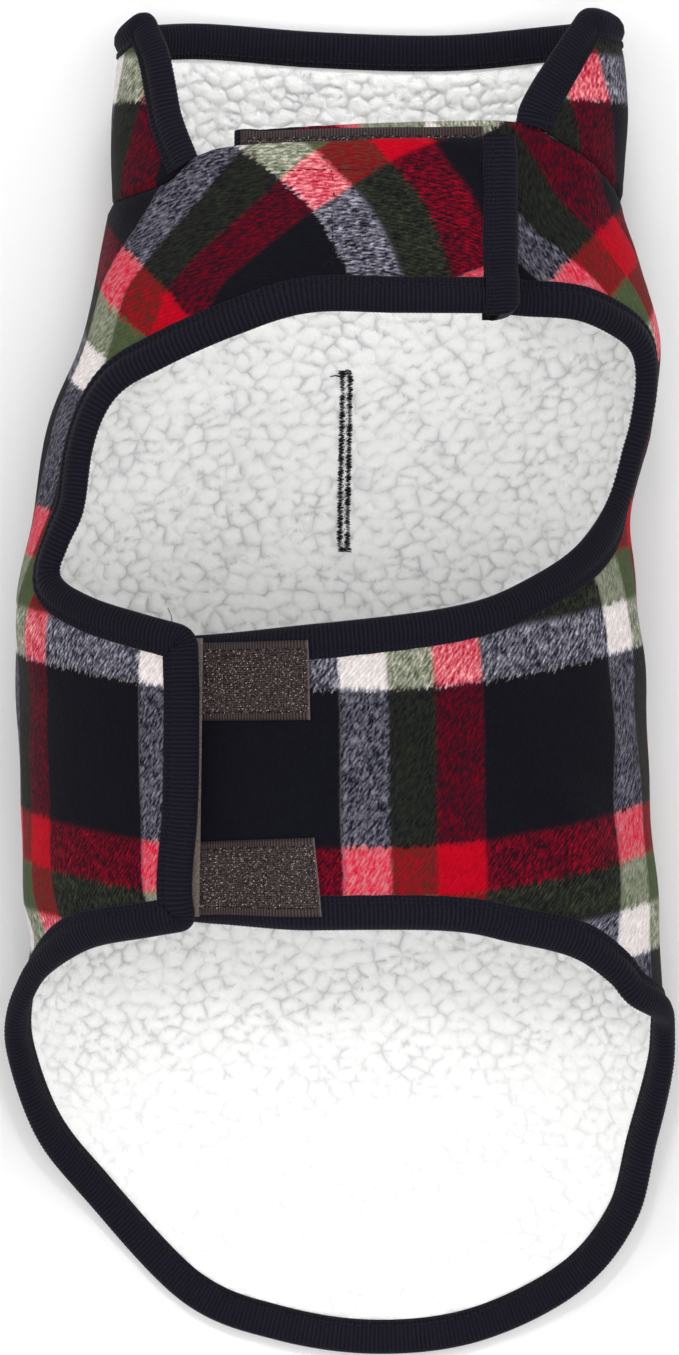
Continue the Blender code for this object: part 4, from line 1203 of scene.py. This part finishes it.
# Woven nylon: dark brown with a dull shine, ribbed along its two edges and speckled where hooks are woven in.
hook_finish, tree, shader = new_material("brown hook tape", Roughness=0.6, Specular_IOR_Level=0.3)
cloth = add_node(tree, "UVMap", uv_map="cloth")
along_tape, up_tape = add_node(tree, "SeparateXYZ", cloth).outputs[:2]
from_middle = add_node(tree, "Math", up_tape, TAPE_TALL / 2, operation="SUBTRACT")
from_middle = add_node(tree, "Math", from_middle, operation="ABSOLUTE")
is_edge = add_node(tree, "Math", from_middle, TAPE_TALL / 2 - WOVEN_EDGE, operation="GREATER_THAN")
ribs = add_node(tree, "Math", along_tape, math.tau / EDGE_RIB_PITCH, operation="MULTIPLY")
ribs = add_node(tree, "Math", ribs, operation="SINE")
ribbed = add_node(tree, "Math", ribs, 0.24, 0.3, operation="MULTIPLY_ADD")
weave = add_node(tree, "TexVoronoi", cloth, Scale=1.35, Randomness=0.35)
specks = add_node(tree, "TexNoise", cloth, Scale=0.9, Detail=3.0)
woven = add_node(tree, "Math", weave, -1.3, 0.85, operation="MULTIPLY_ADD")
woven = add_node(tree, "Math", specks, 1.7, woven, operation="MULTIPLY_ADD")
woven = add_node(tree, "Math", woven, 0.82, operation="SUBTRACT")
relief = add_node(tree, "Mix", is_edge, A=woven, B=ribbed, data_type="FLOAT").outputs["Result"]
tint = add_node(tree, "ValToRGB", relief, stops=((0.15, "0E0808"), (0.95, "634C4B")))
# The right cut end is painted paler: partly its frayed fibres, partly a painted highlight where that end
# catches the light.
cut_end_highlight = add_node(tree, "MapRange", along_tape, -0.6, -0.35, 0.0, 0.4)
frayed_and_lit_end = add_node(tree, "Mix", cut_end_highlight, A=tint, B=linear("8A7C76"), data_type="RGBA").outputs["Result"]
bump = add_node(tree, "Bump", Height=relief, Strength=0.7, Distance=0.0003)
feed(shader, Base_Color=frayed_and_lit_end, Normal=bump)

# The hooks are cut monofilament: clearer and shinier than the tape, so that each catches a point of light.
# Each hook's colour is drawn at random from dark brown to near white: partly the clearer nylon, and the
# palest are painted glints.
filament, tree, shader = new_material("nylon hook filament", Roughness=0.35, Specular_IOR_Level=0.5)
cloth = add_node(tree, "UVMap", uv_map="cloth")
tone = add_node(tree, "TexWhiteNoise", cloth, noise_dimensions="2D")
feed(shader, Base_Color=add_node(tree, "ValToRGB", tone, stops=((0.35, "2E2221"), (1.0, "D9D2CB"))))


STUB, HOOK_RADIUS = 0.35, 0.12  # mm: the upright part of a hook, and its radius
HOOK_BENDS = ((0.1, 0.26, 0.95), (0.26, 0.04, 0.85))  # each mm forward, mm up, and how much thinner


def make_hook():
    """One hook, drawn up from a square stub by extrusions that lean over at the top."""
    bpy.ops.object.select_all(action="DESELECT")
    bpy.ops.mesh.primitive_cylinder_add(
        vertices=4, radius=HOOK_RADIUS * MM, depth=STUB * MM, location=(0, 0, STUB / 2 * MM)
    )
    made = bpy.context.object
    made.name = "hook"
    bpy.ops.object.transform_apply(location=True, rotation=True, scale=True)
    bpy.ops.object.mode_set(mode="EDIT")
    bpy.ops.mesh.select_all(action="DESELECT")
    bpy.ops.object.mode_set(mode="OBJECT")
    for face in made.data.polygons:
        face.select = face.normal.z > 0.9
    bpy.ops.object.mode_set(mode="EDIT")
    for reach, rise, thinner in HOOK_BENDS:
        bpy.ops.mesh.extrude_region_move(TRANSFORM_OT_translate={"value": (reach * MM, 0, rise * MM)})
        bpy.ops.transform.resize(value=(thinner, thinner, thinner))
    bpy.ops.object.mode_set(mode="OBJECT")
    return made


hook = make_hook()


def binding_top(pattern):
    """How high the body's binding stands over the form."""
    from_edge, _ = nearest(body_bound, pattern)
    rows = BINDING_SECTION[OUTER_FOLD + 1 :: -1]
    return np.interp(from_edge, [row[0] for row in rows], [row[1] for row in rows], right=-9.0)


def on_right_wing(pattern):
    return np.maximum(body_surface(pattern), binding_top(pattern)) + 0.1


class Tape:
    """A strip of tape on a wing. Its corners are across and along the coat, from its lower left round to its
    upper left. A place on it is (mm from its right end, mm up from its lower edge)."""

    def __init__(self, corners, side, tall, resting):
        self.corners, self.side, self.tall, self.resting = np.array(corners, float), side, tall, resting
        self.long = np.linalg.norm(self.corners[1] - self.corners[0])

    def pattern(self, places):
        right, up = (1 + places[:, 0] / self.long)[:, None], (places[:, 1] / self.tall)[:, None]
        a, b, c, d = self.corners
        spots = (1 - up) * ((1 - right) * a + right * b) + up * ((1 - right) * d + right * c)
        return on_pattern([Point(*spot, "over") for spot in spots], self.side)

    def ring(self, inset, inset_up, step):
        left, right, low, high = inset - self.long, -inset, inset_up, self.tall - inset_up
        corners = np.array(((left, low), (right, low), (right, high), (left, high)), float)
        return [resampled(np.array(pair), step) for pair in zip(corners, np.roll(corners, -1, axis=0))]

    def make(self, name, finish):
        outline = np.vstack([edge[:-1] for edge in self.ring(0, 0, TAPE_SPACING)])
        places, faces = cut_panel(outline, staggered(outline, TAPE_SPACING), 0.5 * TAPE_SPACING)
        pattern = self.pattern(places)
        thinning = np.clip(1 - nearest(outline, places)[0] / EDGE_SLOPE, 0, 1)
        under, thick = self.resting(pattern)[:, None], TAPE_WALL * (1 - EDGE_THINNER * thinning)[:, None]
        base, normals = form.place(pattern), outward(form.place, pattern)
        top, bottom = base + normals * (under + thick), base + normals * under
        sides = closed_sheet(top, bottom, faces[:, ::-1], faces[:, ::-1], len(outline))
        return new_piece(name, finish, *sides, np.vstack([places, places]))

    def hooks(self, seed):
        """The hooks, in staggered rows between the woven edges."""
        random = np.random.default_rng(seed)
        field = ((0.9 - self.long, WOVEN_EDGE + 0.4), (-1.0, self.tall - WOVEN_EDGE))
        spots = staggered(np.array(field), HOOK_STEP)
        spots = spots + random.normal(0, 0.1, spots.shape)
        pattern = self.pattern(spots)
        up = outward(form.place, pattern)
        up += random.normal(0, 0.16, up.shape)
        places = form.place(pattern) + up * (self.resting(pattern) + TAPE_WALL - 0.1)[:, None]
        turn = random.normal(0.5, 0.5, len(spots)) + math.pi * (np.arange(len(spots)) % 2)
        ahead = np.stack([np.cos(turn), np.sin(turn), 0 * turn], axis=1)
        points, faces, _ = laid_copies(hook, places, ahead, up, random.uniform(0.8, 1.15, len(spots)))
        return points, faces, np.repeat(spots, len(hook.data.vertices), axis=0)

    def seam(self, seed):
        """The stitches round the tape, just inside its edge."""
        edges = [self.pattern(edge) for edge in self.ring(1.6, 2.6, 1.0)]
        return [sewn_along(edge, self.above, 3.0, 0.12, seed) for edge in edges]

    def above(self, pattern):
        return self.resting(pattern) + TAPE_WALL + 0.05


HOOK_TAPES = {  # each piece, with the node that it stands for and the tape's corners from its lower left
    "neck_hooks": ("neck_hook_tape", ((-32.5, 148), (46.4, 148), (46.4, 175.3), (-32.5, 174))),
    "belly_hooks_upper": ("belly_hook_tape_upper", ((-52, -13.6), (-9.1, -13.4), (-9.8, 11.6), (-52, 11.2))),
    "belly_hooks_lower": ("belly_hook_tape_lower", ((-52, -76.2), (-5.7, -74.6), (-8, -50.2), (-52, -52.2))),
}
closures = []
for number, (name, (node, corners)) in enumerate(HOOK_TAPES.items()):
    strip = Tape(corners, 1, TAPE_TALL, on_right_wing)
    tape = strip.make(name, hook_finish)
    field = new_piece(name + "_filaments", filament, *strip.hooks(31 + number))
    seam = new_piece(name + "_stitches", thread_finish, *joined(strip.seam(41 + number)))
    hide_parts(node)
    for piece, slot in ((tape, "hook_tape"), (field, "hook_tape"), (seam, "stitching")):
        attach(piece, "root")
    closures += [tape, field, seam]
bpy.data.objects.remove(hook)
bpy.data.objects.remove(stitch)

# The loop tape is a knit of fine brushed loops: dull and furry. Its paler cut edge is not drawn.
loop_finish, tree, shader = new_material("brown loop tape", Roughness=0.95, Sheen_Weight=0.15)
cloth = add_node(tree, "UVMap", uv_map="cloth")
loops = add_node(tree, "TexNoise", cloth, Scale=1.8, Detail=4.0, Distortion=1.5)
tint = add_node(tree, "ValToRGB", loops, stops=((0.3, "453A36"), (0.7, "85796F")))
bump = add_node(tree, "Bump", Height=loops, Strength=0.8, Distance=0.0006)
feed(shader, Base_Color=tint, Normal=bump)

LOOP_CORNERS = ((-61, -76.8), (-45.8, -76.4), (-44.4, 12.6), (-61, 12.3))
LOOP_DEPTH = 5.35  # mm in from the left wing's outer side to the face of the tape
strip = Tape(LOOP_CORNERS, -1, 89.2, lambda places: np.full(len(places), -LOOP_DEPTH))
loop_tape = strip.make("belly_loops", loop_finish)
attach(loop_tape, "root")
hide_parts("belly_loop_tape")

# --------------------------------------------------------------------------------------------- floor, light
# A pale floor under the coat, and soft lights: a large one above it, one at each side, a small one that
# reaches into its neck, and a narrow one from above on the tail flap.
bpy.ops.mesh.primitive_plane_add(size=6, location=(0, 0, -0.0005))
floor = bpy.context.object
floor.name = "floor"
paper, _, _ = new_material("white backing paper", Base_Color=linear("FDFDFD"), Roughness=0.9)
floor.data.materials.append(paper)

for name, place, aim, size, power, spread in (
    ("overhead softbox", (0.1, -0.4, 1.8), (0, -0.05, 0), 1.6, 14.0, 180),
    ("neck softbox", (0.03, 0.6, 0.4), (0, 0.2, 0.02), 0.15, 0.06, 36),
    ("tail spotlight", (0, 0.12, 0.75), (0, -0.2, 0), 0.08, 0.027, 26),
    ("left softbox", (-1.6, 0.3, 1.2), (0, 0, 0.03), 1.2, 7.0, 180),
    ("right softbox", (1.6, 0.3, 1.2), (0, 0, 0.03), 1.2, 6.0, 180),
):
    lamp = bpy.data.lights.new(name, "AREA")
    lamp.size = size
    lamp.energy = power
    lamp.spread = math.radians(spread)
    light = bpy.data.objects.new(name, lamp)
    light.location = place
    light.visible_camera = False
    light.rotation_euler = (Vector(aim) - Vector(place)).to_track_quat("-Z", "Y").to_euler()
    bpy.context.scene.collection.objects.link(light)
world = bpy.data.worlds.new("plain studio")
bpy.context.scene.world = world
world.use_nodes = True
feed(world.node_tree.nodes["Background"], Color=(1, 1, 1, 1), Strength=0.57)
bpy.context.scene.view_settings.view_transform = "Standard"
